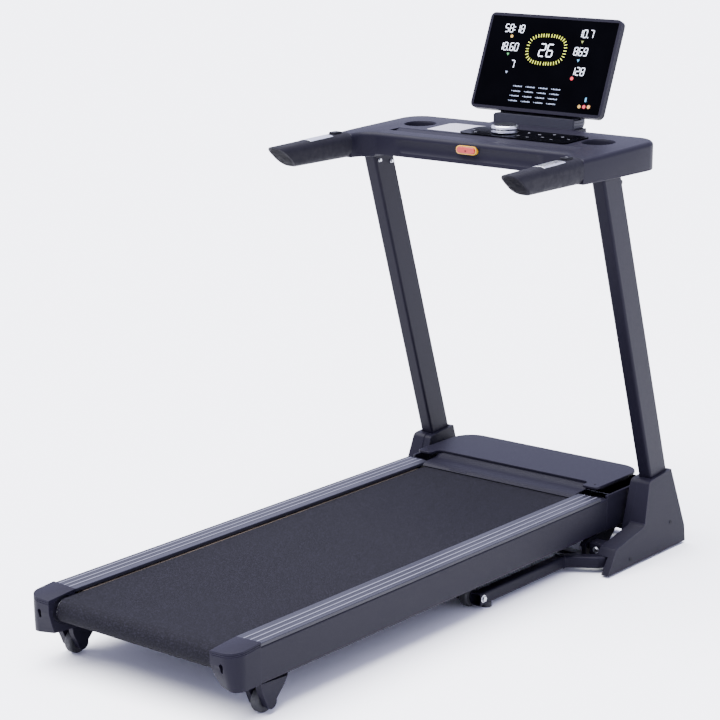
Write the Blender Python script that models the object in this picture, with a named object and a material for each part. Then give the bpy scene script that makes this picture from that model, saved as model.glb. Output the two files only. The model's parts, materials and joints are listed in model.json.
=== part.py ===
"""Folding motorised treadmill, modelled at real size in metres.

Frame: +X is the runner's right, +Y points forward to the console, +Z is up.  The origin is on the
floor under the middle of the machine.  The running deck folds up about a shaft near its front, a
pair of lift arms raises that shaft for an incline, and everything else stands on the base frame.
"""
import math

import bmesh
import bpy
from mathutils import Matrix, Vector

# ---------------------------------------------------------------- driving dimensions
GAP = 0.0003              # air left between pieces that touch
ROUND = 32                # facets of a turned piece

# running deck
DECK_HALF = 0.3035        # half width over the side beams
BEAM_INNER = 0.262
BEAM_LOW = 0.077
RAIL_INNER = 0.235        # half width of the running channel
RAIL_LOW = 0.160
RAIL_TOP = 0.168
DECK_REAR = -0.820
CAP_FRONT = -0.7385
RAIL_FRONT = 0.547
BEAM_FRONT = 0.575
DECK_FRONT = 0.784
ROLLER_R = 0.025
ROLLER_Z = 0.131
REAR_ROLLER_Y = -0.776
FRONT_ROLLER_Y = 0.567
ROLLER_HALF = 0.232
BELT_HALF = 0.228
BELT_THICK = 0.0019
BOARD_TOP = 0.1560
BOARD_THICK = 0.018
PULLEY_X = -0.247         # middle of the ribbed drive pulleys
ROLLER_PULLEY_R = 0.026
MOTOR_PULLEY_R = 0.022
MOTOR_Y = 0.742
MOTOR_Z = 0.127
MOTOR_R = 0.033
HOOD_TOP = 0.187

REAR_WHEEL_Y = -0.704
REAR_WHEEL_R = 0.028

# fold shaft, lift arms and base frame
FOLD_Y = 0.690
FOLD_Z = 0.120
FOLD_R = 0.012
LIFT_Y = 0.530
LIFT_Z = 0.045
LIFT_PIN_R = 0.007
LIFT_ARM_IN = 0.270
LIFT_ARM_OUT = 0.282
LIFT_SCREW_X = -0.100
LIFT_SCREW_Z = 0.0185
LIFT_SCREW_R = 0.0078
TUBE = 0.030              # base frame box tube, square
TUBE_WALL = 0.002
TUBE_MID_Z = 0.028
ARM_X = 0.265             # base arm centre line under the deck
FOOT_X = 0.350            # base arm centre line inside the foot
ARM_REAR = 0.070
ARM_WELD = 0.424
FOOT_REAR = 0.502
AXLE_Y = 0.081            # rear cross tube and transport wheels
AXLE_Z = 0.0305

# gas strut, from the shaft's lever to the deck
STRUT_LOW = (FOLD_Y - 0.0133, FOLD_Z - 0.0840)
STRUT_HIGH = (FOLD_Y - 0.380, FOLD_Z - 0.055)

# uprights and feet
UPRIGHT_X = 0.3425
UPRIGHT_W = 0.037
UPRIGHT_D = 0.078
UPRIGHT_REAR = 0.7495     # rear face at the floor
UPRIGHT_LEAN = -0.3237    # forward travel for each metre of height
UPRIGHT_LOW = 0.0435
UPRIGHT_TOP = 0.9855
FOOT_IN = 0.312
FOOT_MID = 0.345
FOOT_OUT = 0.388          # half width over the feet at the floor
FOOT_DRAFT = 0.090        # how far the outer face leans in for each metre of height
COVER_WALL = 0.004

# console
SHELL_LOW = 0.9860
SHELL_SPLIT = 1.0165
SHELL_TOP = 1.0460        # top face at the grips
SHELL_RISE = 0.033        # rise of the top face for each metre forward
SHELL_FAR = 0.668         # far edge
FACE_Y = 0.382            # face towards the runner
GRIP_SEAM = 0.330
CUP_X = 0.2676
CUP_Y = 0.548
CUP_R = 0.040
CUP_FLOOR = 1.004
PANEL_THICK = 0.003
KNOB_X = 0.006
KNOB_Y = 0.532
KNOB_R = 0.0335
SCREEN_W = 0.394
SCREEN_H = 0.2526
SCREEN_THICK = 0.022
SCREEN_LOW = (0.6645, 1.0910)      # lower front edge (y, z)
SCREEN_LEAN = math.radians(21.8)
HINGE = (0.704, 1.096)             # screen hinge pin (y, z)

SIDES = (("right", 1.0), ("left", -1.0))


# ---------------------------------------------------------------- materials
def finish(name, colour, roughness, metallic=0.0):
    """A Principled material with one colour."""
    mat = bpy.data.materials.get(name)
    if mat is None:
        mat = bpy.data.materials.new(name)
        mat.use_nodes = True
        shader = mat.node_tree.nodes["Principled BSDF"]
        shader.inputs["Base Color"].default_value = (*colour, 1.0)
        shader.inputs["Roughness"].default_value = roughness
        shader.inputs["Metallic"].default_value = metallic
        mat.diffuse_color = (*colour, 1.0)
    return mat


def painted_steel():
    return finish("painted_steel", (0.075, 0.075, 0.100), 0.45, 0.4)


def dark_plastic():
    return finish("dark_plastic", (0.080, 0.080, 0.105), 0.50)


def black_plastic():
    return finish("black_plastic", (0.015, 0.015, 0.018), 0.45)


def rail_plastic():
    return finish("rail_plastic", (0.060, 0.062, 0.080), 0.40)


def rubber():
    return finish("black_rubber", (0.020, 0.020, 0.022), 0.85)


def bare_steel():
    return finish("bare_steel", (0.62, 0.62, 0.64), 0.28, 1.0)


def belt_cloth():
    return finish("belt_cloth", (0.035, 0.035, 0.040), 0.80)


# ---------------------------------------------------------------- modelling helpers
def make(name, bm, mat, origin=(0.0, 0.0, 0.0), smooth=False):
    """Turn a bmesh in world coordinates into a named object with its origin at a chosen point."""
    bmesh.ops.recalc_face_normals(bm, faces=bm.faces[:])
    bmesh.ops.translate(bm, verts=bm.verts[:], vec=-Vector(origin))
    mesh = bpy.data.meshes.new(name)
    bm.to_mesh(mesh)
    bm.free()
    mesh.materials.append(mat)
    obj = bpy.data.objects.new(name, mesh)
    obj.location = origin
    bpy.context.scene.collection.objects.link(obj)
    if smooth:
        mesh.shade_smooth()
        mesh.set_sharp_from_angle(angle=math.radians(35))
    return obj


def combine(obj, other_bm, operation):
    """Cut, join or intersect an object with a bmesh by an exact Boolean, applied at once."""
    mesh = bpy.data.meshes.new("tool")
    bmesh.ops.recalc_face_normals(other_bm, faces=other_bm.faces[:])
    other_bm.to_mesh(mesh)
    other_bm.free()
    tool = bpy.data.objects.new("tool", mesh)
    tool.hide_render = True
    tool.display_type = "WIRE"
    bpy.context.scene.collection.objects.link(tool)
    mod = obj.modifiers.new("combine", "BOOLEAN")
    mod.operation = operation
    mod.solver = "EXACT"
    mod.object = tool
    bpy.context.view_layer.update()
    graph = bpy.context.evaluated_depsgraph_get()
    result = bpy.data.meshes.new_from_object(obj.evaluated_get(graph))
    obj.modifiers.remove(mod)
    obj.data = result
    result.name = obj.name
    bpy.data.objects.remove(tool)
    bpy.data.meshes.remove(mesh)
    return obj


def cut(obj, tool_bm):
    return combine(obj, tool_bm, "DIFFERENCE")


def join(obj, tool_bm):
    return combine(obj, tool_bm, "UNION")


def block(x0, x1, y0, y1, z0, z1, soften=0.0, steps=1):
    """A box given by its limits, its edges optionally softened."""
    bm = bmesh.new()
    bmesh.ops.create_cube(bm, size=1.0)
    size = Vector((abs(x1 - x0), abs(y1 - y0), abs(z1 - z0)))
    bmesh.ops.scale(bm, vec=size, verts=bm.verts[:])
    middle = Vector((x0 + x1, y0 + y1, z0 + z1)) / 2
    bmesh.ops.translate(bm, vec=middle, verts=bm.verts[:])
    if soften:
        round_edges(bm, bm.edges[:], soften, steps)
    return bm


def round_edges(bm, edges, width, steps):
    bmesh.ops.bevel(bm, geom=edges, offset=width, segments=steps, affect="EDGES",
                    profile=0.5, material=-1, clamp_overlap=True)


def prism(outline, low, high, axis):
    """Extrude a closed outline.  Its points are (y, z) along X, or (x, y) along Z."""
    bm = bmesh.new()
    if axis == "X":
        ring = [bm.verts.new((low, a, b)) for a, b in outline]
        step = Vector((high - low, 0.0, 0.0))
    else:
        ring = [bm.verts.new((a, b, low)) for a, b in outline]
        step = Vector((0.0, 0.0, high - low))
    face = bm.faces.new(ring)
    grown = bmesh.ops.extrude_face_region(bm, geom=[face])
    moved = [part for part in grown["geom"] if isinstance(part, bmesh.types.BMVert)]
    bmesh.ops.translate(bm, verts=moved, vec=step)
    bmesh.ops.recalc_face_normals(bm, faces=bm.faces[:])
    return bm


def rod(radius, x0, x1, y, z, sides=ROUND):
    """A round bar along X."""
    bm = bmesh.new()
    bmesh.ops.create_cone(bm, cap_ends=True, segments=sides, radius1=radius, radius2=radius,
                          depth=abs(x1 - x0))
    turn = Matrix.Rotation(math.pi / 2, 4, "Y")
    place = Matrix.Translation(((x0 + x1) / 2, y, z))
    bmesh.ops.transform(bm, matrix=place @ turn, verts=bm.verts[:])
    return bm


def rod_along_y(radius, x, y, z, length, sides=24):
    """A round bar along Y, given by its middle."""
    bm = bmesh.new()
    bmesh.ops.create_cone(bm, cap_ends=True, segments=sides, radius1=radius, radius2=radius, depth=length)
    turn = Matrix.Rotation(math.pi / 2, 4, "X")
    bmesh.ops.transform(bm, matrix=Matrix.Translation((x, y, z)) @ turn, verts=bm.verts[:])
    return bm


def post(radius, x, y, z0, z1, sides=ROUND, top_radius=None):
    """A round post along Z."""
    bm = bmesh.new()
    bmesh.ops.create_cone(bm, cap_ends=True, segments=sides, radius1=radius,
                          radius2=radius if top_radius is None else top_radius, depth=z1 - z0)
    bmesh.ops.translate(bm, vec=(x, y, (z0 + z1) / 2), verts=bm.verts[:])
    return bm


def turned(profile, y, z, sides=ROUND, closed=False):
    """Spin an (x, radius) profile about an X axis.  A closed profile makes a ring with a bore."""
    bm = bmesh.new()
    points = [bm.verts.new((x, 0.0, radius)) for x, radius in profile]
    pairs = list(zip(points, points[1:]))
    if closed:
        pairs.append((points[-1], points[0]))
    edges = [bm.edges.new(pair) for pair in pairs]
    bmesh.ops.spin(bm, geom=points + edges, cent=(0, 0, 0), axis=(1, 0, 0), angle=2 * math.pi,
                   steps=sides, use_merge=True)
    bmesh.ops.remove_doubles(bm, verts=bm.verts[:], dist=1e-6)
    bmesh.ops.translate(bm, vec=(0.0, y, z), verts=bm.verts[:])
    return bm


def arc(cy, cz, radius, start, end, steps):
    """Points of an arc, angles in degrees from +Y towards +Z."""
    span = [math.radians(start + (end - start) * i / steps) for i in range(steps + 1)]
    return [(cy + radius * math.cos(a), cz + radius * math.sin(a)) for a in span]


def rounded_ring(width, height, radius, steps=3):
    """A rounded rectangle about the origin, as (across, up) points."""
    a, b = width / 2 - radius, height / 2 - radius
    corners = ((a, b, 0), (-a, b, 90), (-a, -b, 180), (a, -b, 270))
    return [point for cx, cy, start in corners for point in arc(cx, cy, radius, start, start + 90, steps)]


def swept_tube(path, width, height, radius, wall):
    """A hollow box tube, open at both ends, along a level path of (x, y, z) points."""
    bm = bmesh.new()
    shells = []
    for inset in (0.0, wall):
        section = rounded_ring(width - 2 * inset, height - 2 * inset, radius - inset)
        rings = []
        for i, point in enumerate(path):
            before = Vector(path[max(i - 1, 0)])
            after = Vector(path[min(i + 1, len(path) - 1)])
            along = (after - before).normalized()
            across = Vector((along.y, -along.x, 0.0))
            centre = Vector(point)
            rings.append([bm.verts.new(centre + across * u + Vector((0, 0, v))) for u, v in section])
        for first, second in zip(rings, rings[1:]):
            count = len(first)
            for k in range(count):
                nxt = (k + 1) % count
                bm.faces.new((first[k], first[nxt], second[nxt], second[k]))
        shells.append(rings)
    outer, inner = shells
    for end in (0, -1):
        count = len(outer[end])
        for k in range(count):
            nxt = (k + 1) % count
            bm.faces.new((outer[end][k], outer[end][nxt], inner[end][nxt], inner[end][k]))
    return bm


def loop_band(ay, az, ar, by, bz, br, thick, x0, x1, steps=16):
    """A flat belt of a given thickness round two wheels, as a closed ring along X."""
    reach = math.hypot(by - ay, bz - az)
    tilt = math.degrees(math.atan2(bz - az, by - ay))
    lean = math.degrees(math.asin((ar - br) / reach))

    def outline(extra):
        back = arc(ay, az, ar + extra, tilt + 90 - lean, tilt + 270 + lean, steps)
        front = arc(by, bz, br + extra, tilt - 90 + lean, tilt + 90 - lean, steps)
        return back + front

    inner, outer = outline(0.0), outline(thick)
    bm = bmesh.new()
    rows = [[bm.verts.new((x, y, z)) for y, z in line] for x, line in
            ((x0, inner), (x0, outer), (x1, outer), (x1, inner))]
    count = len(inner)
    for first, second in zip(rows, rows[1:] + rows[:1]):
        for k in range(count):
            nxt = (k + 1) % count
            bm.faces.new((first[k], first[nxt], second[nxt], second[k]))
    return bm


def span(side, x0, x1):
    """Limits along X of a piece on one side, in rising order."""
    return tuple(sorted((side * x0, side * x1)))


def console_top(y):
    """Height of the console's top face."""
    return SHELL_TOP + SHELL_RISE * (y - GRIP_SEAM)


def lean_to_top(bm, base):
    """Slope every vertex above a height by the rise of the console's top face."""
    for vert in bm.verts:
        if vert.co.z > base:
            vert.co.z += SHELL_RISE * (vert.co.y - GRIP_SEAM)


# ---------------------------------------------------------------- base frame
def base_arm(word, side):
    """One box tube: straight under the deck, then swept outwards and on through the foot."""
    bend = 8
    path = [(ARM_X, ARM_REAR, TUBE_MID_Z), (ARM_X, ARM_WELD, TUBE_MID_Z)]
    for i in range(1, bend):
        t = i / bend
        ease = t * t * (3 - 2 * t)
        x = ARM_X + (FOOT_X - ARM_X) * ease
        path.append((x, ARM_WELD + (FOOT_REAR - ARM_WELD) * t, TUBE_MID_Z))
    path += [(FOOT_X, FOOT_REAR, TUBE_MID_Z), (FOOT_X, 0.790, TUBE_MID_Z)]
    path = [(side * x, y, z) for x, y, z in path]
    tube = swept_tube(path, TUBE, TUBE, 0.006, TUBE_WALL)
    return make("base_arm_" + word, tube, painted_steel(), smooth=True)


def base_rear_tube():
    """Round cross tube, turned down at each end into the axle of a transport wheel."""
    half, shoulder = ARM_X - TUBE / 2 - GAP, 0.2245
    profile = [(-half, 0.0), (-half, 0.005), (-shoulder, 0.005), (-shoulder, 0.014),
               (shoulder, 0.014), (shoulder, 0.005), (half, 0.005), (half, 0.0)]
    return make("base_rear_tube", turned(profile, AXLE_Y, AXLE_Z), painted_steel(), smooth=True)


def base_front_tube():
    half = FOOT_X - TUBE / 2 - GAP
    tube = block(-half, half, 0.775, 0.803, 0.014, 0.042, 0.004, 2)
    return make("base_front_tube", tube, painted_steel())


def transport_wheel(word, side):
    x0, x1 = span(side, 0.2262, 0.2482)
    centre = (side * 0.2372, AXLE_Y, AXLE_Z)
    profile = [(x0, 0.0054), (x0, 0.0235), (x0 + 0.004, 0.0265), (x1 - 0.004, 0.0265),
               (x1, 0.0235), (x1, 0.0054)]
    wheel = turned(profile, AXLE_Y, AXLE_Z, closed=True)
    return make("transport_wheel_" + word, wheel, rubber(), centre, smooth=True)


def floor_pad(word, place, x, y, radius, top):
    pad = post(radius * 1.08, x, y, 0.0, top, 24, radius)
    return make("floor_pad_%s_%s" % (place, word), pad, rubber(), smooth=True)


def lift_lug(word, side):
    """Lug on the foot tube with the pin that a lift arm turns on."""
    face = FOOT_X - TUBE / 2 - GAP
    x0, x1 = span(side, 0.2925, face)
    lug = make("lift_lug_" + word, block(x0, x1, 0.512, 0.548, 0.0195, 0.0625, 0.004), painted_steel())
    p0, p1 = span(side, 0.2605, 0.2935)
    return join(lug, rod(LIFT_PIN_R, p0, p1, LIFT_Y, LIFT_Z))


def upright_solid(side, low, high, grow, wall):
    """A leaning rectangular tube with level ends; without a wall it is solid."""
    bm = bmesh.new()
    rings = []
    insets = (0.0, wall) if wall else (0.0,)
    for inset in insets:
        section = rounded_ring(UPRIGHT_W + 2 * (grow - inset), UPRIGHT_D + 2 * (grow - inset),
                               0.006 - inset + grow)
        for z in (low, high):
            middle = UPRIGHT_REAR + UPRIGHT_LEAN * z + UPRIGHT_D / 2
            rings.append([bm.verts.new((side * UPRIGHT_X + u, middle + v, z)) for u, v in section])
    count = len(rings[0])
    loops = [(rings[0], rings[1])]
    if wall:
        loops += [(rings[2], rings[3]), (rings[0], rings[2]), (rings[1], rings[3])]
    else:
        bm.faces.new(rings[0])
        bm.faces.new(rings[1])
    for first, second in loops:
        for k in range(count):
            nxt = (k + 1) % count
            bm.faces.new((first[k], first[nxt], second[nxt], second[k]))
    bmesh.ops.recalc_face_normals(bm, faces=bm.faces[:])
    return bm


def upright(word, side):
    tube = upright_solid(side, UPRIGHT_LOW, UPRIGHT_TOP, 0.0, TUBE_WALL)
    return make("upright_" + word, tube, painted_steel(), smooth=True)


def foot_cover(word, side):
    """Moulded foot cover, an open-bottomed shell that the upright drops into."""
    low, wall = 0.006, COVER_WALL
    outer = [(0.8205, low), (0.8205, 0.048), (0.7705, 0.205), (0.673, 0.196)]
    outer += arc(0.6735, 0.186, 0.010, 90, 160, 3)
    outer += [(0.627, 0.087), (0.4917, 0.061), (0.455, low)]
    inner = [(0.8190, low), (0.8190, 0.0475), (0.7695, 0.2035), (0.677, 0.1950), (0.640, 0.176),
             (0.618, 0.130), (0.606, low)]
    outer_hollow = [(0.8165, -low), (0.8165, 0.047), (0.7675, 0.201), (0.671, 0.192), (0.632, 0.082),
                    (0.495, 0.057), (0.457, -low)]
    inner_hollow = [(0.8155, -low), (0.8155, 0.0465), (0.7665, 0.2000), (0.679, 0.1915), (0.644, 0.173),
                    (0.622, 0.129), (0.610, -low)]
    body = prism(outer, *span(side, FOOT_MID, FOOT_OUT), "X")
    lean_inwards(body, side * FOOT_OUT)
    round_edges(body, body.edges[:], 0.0035, 2)
    cover = make("foot_cover_" + word, body, dark_plastic())
    join(cover, prism(inner, *span(side, FOOT_IN, FOOT_MID + 0.006), "X"))
    space = prism(outer_hollow, *span(side, FOOT_MID + wall, FOOT_OUT - wall), "X")
    lean_inwards(space, side * (FOOT_OUT - wall))
    cut(cover, space)
    cut(cover, prism(inner_hollow, *span(side, FOOT_IN + wall, FOOT_MID + 0.010), "X"))
    cut(cover, upright_solid(side, 0.03, 0.30, 0.0005, 0.0))
    tube_edge = FOOT_X + TUBE / 2 + 0.0012
    cut(cover, block(*span(side, FOOT_MID - 0.014, tube_edge), 0.40, 0.83, -0.02, 0.0445))
    cut(cover, block(*span(side, 0.30, FOOT_X), 0.770, 0.83, -0.02, 0.0435))
    return cover


def lean_inwards(bm, face_x):
    """Lean a foot cover's outer face in towards the top."""
    for vert in bm.verts:
        if abs(vert.co.x - face_x) < 1e-5:
            vert.co.x -= math.copysign(FOOT_DRAFT * vert.co.z, face_x)


# ---------------------------------------------------------------- incline lift
def lift_arm(word, side):
    """Cranked plate from the lug's pin to the fold shaft, with a foot for the cross bar."""
    upper = arc(FOLD_Y, FOLD_Z, 0.019, 125, -45, 10)
    lower_back = arc(LIFT_Y, LIFT_Z, 0.017, 200, 90, 6)
    outline = upper + [(0.618, 0.030), (0.548, 0.026), (0.543, 0.0125), (0.517, 0.0125)]
    outline += lower_back + [(0.588, 0.0665)]
    plate = prism(outline, *span(side, LIFT_ARM_IN, LIFT_ARM_OUT), "X")
    arm = make("lift_arm_" + word, plate, painted_steel(), (side * 0.276, LIFT_Y, LIFT_Z))
    reach = span(side, LIFT_ARM_IN - 0.01, LIFT_ARM_OUT + 0.01)
    cut(arm, rod(FOLD_R + 0.0005, *reach, FOLD_Y, FOLD_Z))
    return cut(arm, rod(LIFT_PIN_R + 0.0004, *reach, LIFT_Y, LIFT_Z))


def lift_crossbar():
    half = LIFT_ARM_IN - GAP
    bar = block(-half, half, 0.517, 0.543, 0.0125, 0.0225, 0.0015)
    return make("lift_crossbar", bar, painted_steel(), (0.0, LIFT_Y, LIFT_Z))


def lift_motor():
    """Gearmotor lying on the base: an eye on the rear tube, gear case, motor and guide tube."""
    x = LIFT_SCREW_X
    case = block(x - 0.030, x + 0.026, 0.104, 0.172, 0.006, 0.062, 0.006, 2)
    motor = make("lift_motor", case, black_plastic())
    join(motor, block(x - 0.012, x + 0.012, 0.086, 0.108, 0.012, 0.049))
    join(motor, rod_along_y(0.023, x + 0.048, 0.150, 0.033, 0.085))
    join(motor, rod_along_y(LIFT_SCREW_R + 0.0037, x, 0.265, LIFT_SCREW_Z, 0.20))
    cut(motor, rod_along_y(LIFT_SCREW_R + 0.0007, x, 0.290, LIFT_SCREW_Z, 0.20))
    cut(motor, rod(0.0146, x - 0.04, x + 0.04, AXLE_Y, AXLE_Z))
    return motor


def lift_screw():
    """Screw that leaves the gearmotor's guide tube and pushes the lift cross bar."""
    x, middle = LIFT_SCREW_X, 0.357
    bar = rod_along_y(LIFT_SCREW_R, x, middle, LIFT_SCREW_Z, 0.290)
    screw = make("lift_screw", bar, bare_steel(), (x, middle, LIFT_SCREW_Z), smooth=True)
    return join(screw, block(x - 0.013, x + 0.013, 0.490, 0.508, 0.0095, 0.0275, 0.002))


def fold_shaft():
    """Shaft that the deck folds on, with the forked lever that the gas strut pushes against."""
    half = DECK_HALF + 0.002
    shaft = make("fold_shaft", rod(FOLD_R, -half, half, FOLD_Y, FOLD_Z), bare_steel(),
                 (0.0, FOLD_Y, FOLD_Z), smooth=True)
    py, pz = STRUT_LOW
    angle = math.degrees(math.atan2(pz - FOLD_Z, py - FOLD_Y))
    outline = arc(FOLD_Y, FOLD_Z, 0.0165, angle + 90, angle + 270, 10)
    outline += arc(py, pz, 0.009, angle - 90, angle + 90, 8)
    join(shaft, prism(outline, -0.016, -0.011, "X"))
    join(shaft, prism(outline, 0.011, 0.016, "X"))
    join(shaft, rod(0.005, -0.0125, 0.0125, py, pz, 24))
    return shaft


# ---------------------------------------------------------------- gas strut
def strut_matrix():
    """Places a piece drawn along local -Y from the strut's lower pin."""
    (py, pz), (qy, qz) = STRUT_LOW, STRUT_HIGH
    angle = math.atan2(qz - pz, qy - py) - math.pi
    return Matrix.Translation((0.0, py, pz)) @ Matrix.Rotation(angle, 4, "X")


def strut_bar(radius, start, end, sides=24):
    bm = bmesh.new()
    bmesh.ops.create_cone(bm, cap_ends=True, segments=sides, radius1=radius, radius2=radius,
                          depth=end - start)
    lie = Matrix.Translation((0.0, -(start + end) / 2, 0.0)) @ Matrix.Rotation(math.pi / 2, 4, "X")
    bmesh.ops.transform(bm, matrix=strut_matrix() @ lie, verts=bm.verts[:])
    return bm


def strut_cylinder():
    """Pressure tube with its lower eye; the rod's bore is open at the far end."""
    py, pz = STRUT_LOW
    barrel = strut_bar(0.011, 0.014, 0.262)
    tube = make("strut_cylinder", barrel, black_plastic(), (0.0, py, pz), smooth=True)
    join(tube, rod(0.0095, -0.0105, 0.0105, py, pz, 24))
    join(tube, strut_bar(0.0065, 0.004, 0.018))
    cut(tube, rod(0.0055, -0.02, 0.02, py, pz, 24))
    cut(tube, strut_bar(0.0046, 0.060, 0.30))
    return tube


def strut_rod():
    """Piston rod with the eye that meets the deck's bracket."""
    py, pz = STRUT_LOW
    qy, qz = STRUT_HIGH
    reach = math.hypot(qy - py, qz - pz)
    bar = make("strut_rod", strut_bar(0.004, 0.072, reach), bare_steel(), (0.0, py, pz), smooth=True)
    return join(bar, rod(0.008, -0.0095, 0.0095, qy, qz, 24))


# ---------------------------------------------------------------- running deck
def deck_beam(word, side):
    width = DECK_HALF - BEAM_INNER
    height = RAIL_LOW - 0.0005 - BEAM_LOW
    x = side * (DECK_HALF + BEAM_INNER) / 2
    z = BEAM_LOW + height / 2
    path = [(x, CAP_FRONT + GAP, z), (x, BEAM_FRONT, z)]
    beam = swept_tube(path, width, height, 0.004, TUBE_WALL)
    return make("deck_beam_" + word, beam, painted_steel(), (0.0, FOLD_Y, FOLD_Z), smooth=True)


def foot_rail(word, side):
    """Tread on top of a beam: a plate with three raised anti-slip ribs."""
    ribs = 3
    pitch = 0.017
    points = [(RAIL_INNER, RAIL_LOW), (DECK_HALF, RAIL_LOW), (DECK_HALF, RAIL_TOP - 0.002),
              (DECK_HALF - 0.002, RAIL_TOP - 0.0008)]
    for i in range(ribs):
        middle = DECK_HALF - 0.014 - pitch * i
        points += [(middle + 0.0022, RAIL_TOP - 0.0008), (middle + 0.0012, RAIL_TOP),
                   (middle - 0.0012, RAIL_TOP), (middle - 0.0022, RAIL_TOP - 0.0008)]
    points += [(RAIL_INNER + 0.001, RAIL_TOP - 0.0008), (RAIL_INNER, RAIL_TOP - 0.002)]
    bm = bmesh.new()
    ring = [bm.verts.new((side * x, CAP_FRONT + GAP, z)) for x, z in points]
    face = bm.faces.new(ring)
    grown = bmesh.ops.extrude_face_region(bm, geom=[face])
    far = [part for part in grown["geom"] if isinstance(part, bmesh.types.BMVert)]
    bmesh.ops.translate(bm, verts=far, vec=(0.0, RAIL_FRONT - CAP_FRONT - GAP, 0.0))
    return make("foot_rail_" + word, bm, rail_plastic(), (0.0, FOLD_Y, FOLD_Z))


def front_plate(word, side):
    """Steel side plate of the motor bay, bored for the fold shaft."""
    x0, x1 = span(side, 0.2965, DECK_HALF)
    plate = block(x0, x1, BEAM_FRONT + GAP, DECK_FRONT - 0.002, BEAM_LOW, 0.1675, 0.001)
    obj = make("front_plate_" + word, plate, painted_steel(), (0.0, FOLD_Y, FOLD_Z))
    return cut(obj, rod(FOLD_R + 0.0005, x0 - 0.01, x1 + 0.01, FOLD_Y, FOLD_Z))


def rear_cap(word, side):
    """End cap with a rounded outer corner, a keyhole slot behind and the roller's bearing hole."""
    front, rear, low, top = CAP_FRONT, DECK_REAR, 0.074, 0.1705
    outline = [(front, low), (front, top), (rear + 0.003, top - 0.006), (rear, top - 0.009), (rear, 0.098),
               (rear + 0.020, low)]
    body = prism(outline, *span(side, RAIL_INNER + 0.0005, DECK_HALF + 0.0005), "X")
    corner = [edge for edge in body.edges
              if all(abs(v.co.x) > 0.30 and v.co.y < rear + 0.03 for v in edge.verts)
              and abs(edge.verts[0].co.z - edge.verts[1].co.z) > 0.02]
    round_edges(body, corner, 0.022, 4)
    cap = make("rear_cap_" + word, body, dark_plastic(), (0.0, FOLD_Y, FOLD_Z))
    bore = span(side, 0.20, RAIL_INNER + 0.022)
    cut(cap, rod(0.0086, *bore, REAR_ROLLER_Y, ROLLER_Z, 24))
    ring = span(side, 0.20, RAIL_INNER + 0.0035)
    cut(cap, rod(0.030, *ring, REAR_ROLLER_Y, ROLLER_Z, 32))
    slot_x = side * 0.268
    slot = block(slot_x - 0.004, slot_x + 0.004, rear - 0.01, rear + 0.012, 0.118, 0.139)
    cut(cap, slot)
    return cap


def wheel_fork(word, side):
    """Two cheeks under an end cap, with the rear wheel's axle between them."""
    wy, wz = REAR_WHEEL_Y, REAR_WHEEL_R
    outline = [(-0.734, 0.0735), (-0.640, 0.0735), (-0.640, 0.064)] + arc(wy, wz, 0.013, -10, -170, 8)
    outline += [(-0.734, 0.060)]
    outer = prism(outline, *span(side, 0.2860, 0.2895), "X")
    fork = make("wheel_fork_" + word, outer, black_plastic(), (0.0, FOLD_Y, FOLD_Z))
    join(fork, prism(outline, *span(side, 0.2597, 0.2632), "X"))
    join(fork, block(*span(side, 0.2597, 0.2895), -0.734, -0.640, 0.0690, 0.0735))
    return join(fork, rod(0.004, *span(side, 0.2620, 0.2870), wy, wz, 20))


def rear_wheel(word, side):
    wy, wz, radius = REAR_WHEEL_Y, REAR_WHEEL_R, REAR_WHEEL_R
    x0, x1 = span(side, 0.2642, 0.2850)
    profile = [(x0, 0.0044), (x0, radius - 0.005), (x0 + 0.0015, radius - 0.0015), (x0 + 0.005, radius),
               (x1 - 0.005, radius), (x1 - 0.0015, radius - 0.0015), (x1, radius - 0.005), (x1, 0.0044)]
    wheel = turned(profile, wy, wz, closed=True)
    return make("rear_wheel_" + word, wheel, rubber(), ((x0 + x1) / 2, wy, wz), smooth=True)


def deck_board():
    board = block(-0.255, 0.255, -0.715, 0.507, BOARD_TOP - BOARD_THICK, BOARD_TOP, 0.002)
    return make("deck_board", board, finish("board_laminate", (0.05, 0.045, 0.04), 0.55),
                (0.0, FOLD_Y, FOLD_Z))


def running_belt():
    ring = loop_band(REAR_ROLLER_Y, ROLLER_Z, ROLLER_R + GAP, FRONT_ROLLER_Y, ROLLER_Z, ROLLER_R + GAP,
                     BELT_THICK, -BELT_HALF, BELT_HALF)
    return make("running_belt", ring, belt_cloth(), (0.0, FOLD_Y, FOLD_Z), smooth=True)


def roller(word, y, pulley):
    """Steel roller on stub shafts; the front one carries the ribbed pulley."""
    end, shaft = BEAM_INNER - GAP, 0.008
    if not pulley:
        end = RAIL_INNER + 0.020
    profile = [(end, 0.0), (end, shaft), (ROLLER_HALF, shaft), (ROLLER_HALF, ROLLER_R - 0.001),
               (ROLLER_HALF - 0.001, ROLLER_R), (-ROLLER_HALF + 0.001, ROLLER_R),
               (-ROLLER_HALF, ROLLER_R - 0.001), (-ROLLER_HALF, shaft)]
    if pulley:
        profile += [(PULLEY_X + 0.010, shaft), (PULLEY_X + 0.010, ROLLER_PULLEY_R),
                    (PULLEY_X - 0.010, ROLLER_PULLEY_R), (PULLEY_X - 0.010, shaft)]
    profile += [(-end, shaft), (-end, 0.0)]
    return make(word, turned(profile, y, ROLLER_Z), bare_steel(), (0.0, y, ROLLER_Z), smooth=True)


def cross_tube_rear():
    half = BEAM_INNER - GAP
    tube = block(-half, half, -0.47, -0.43, 0.1083, BOARD_TOP - BOARD_THICK - GAP, 0.003)
    return make("deck_cross_tube_rear", tube, painted_steel(), (0.0, FOLD_Y, FOLD_Z))


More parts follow.
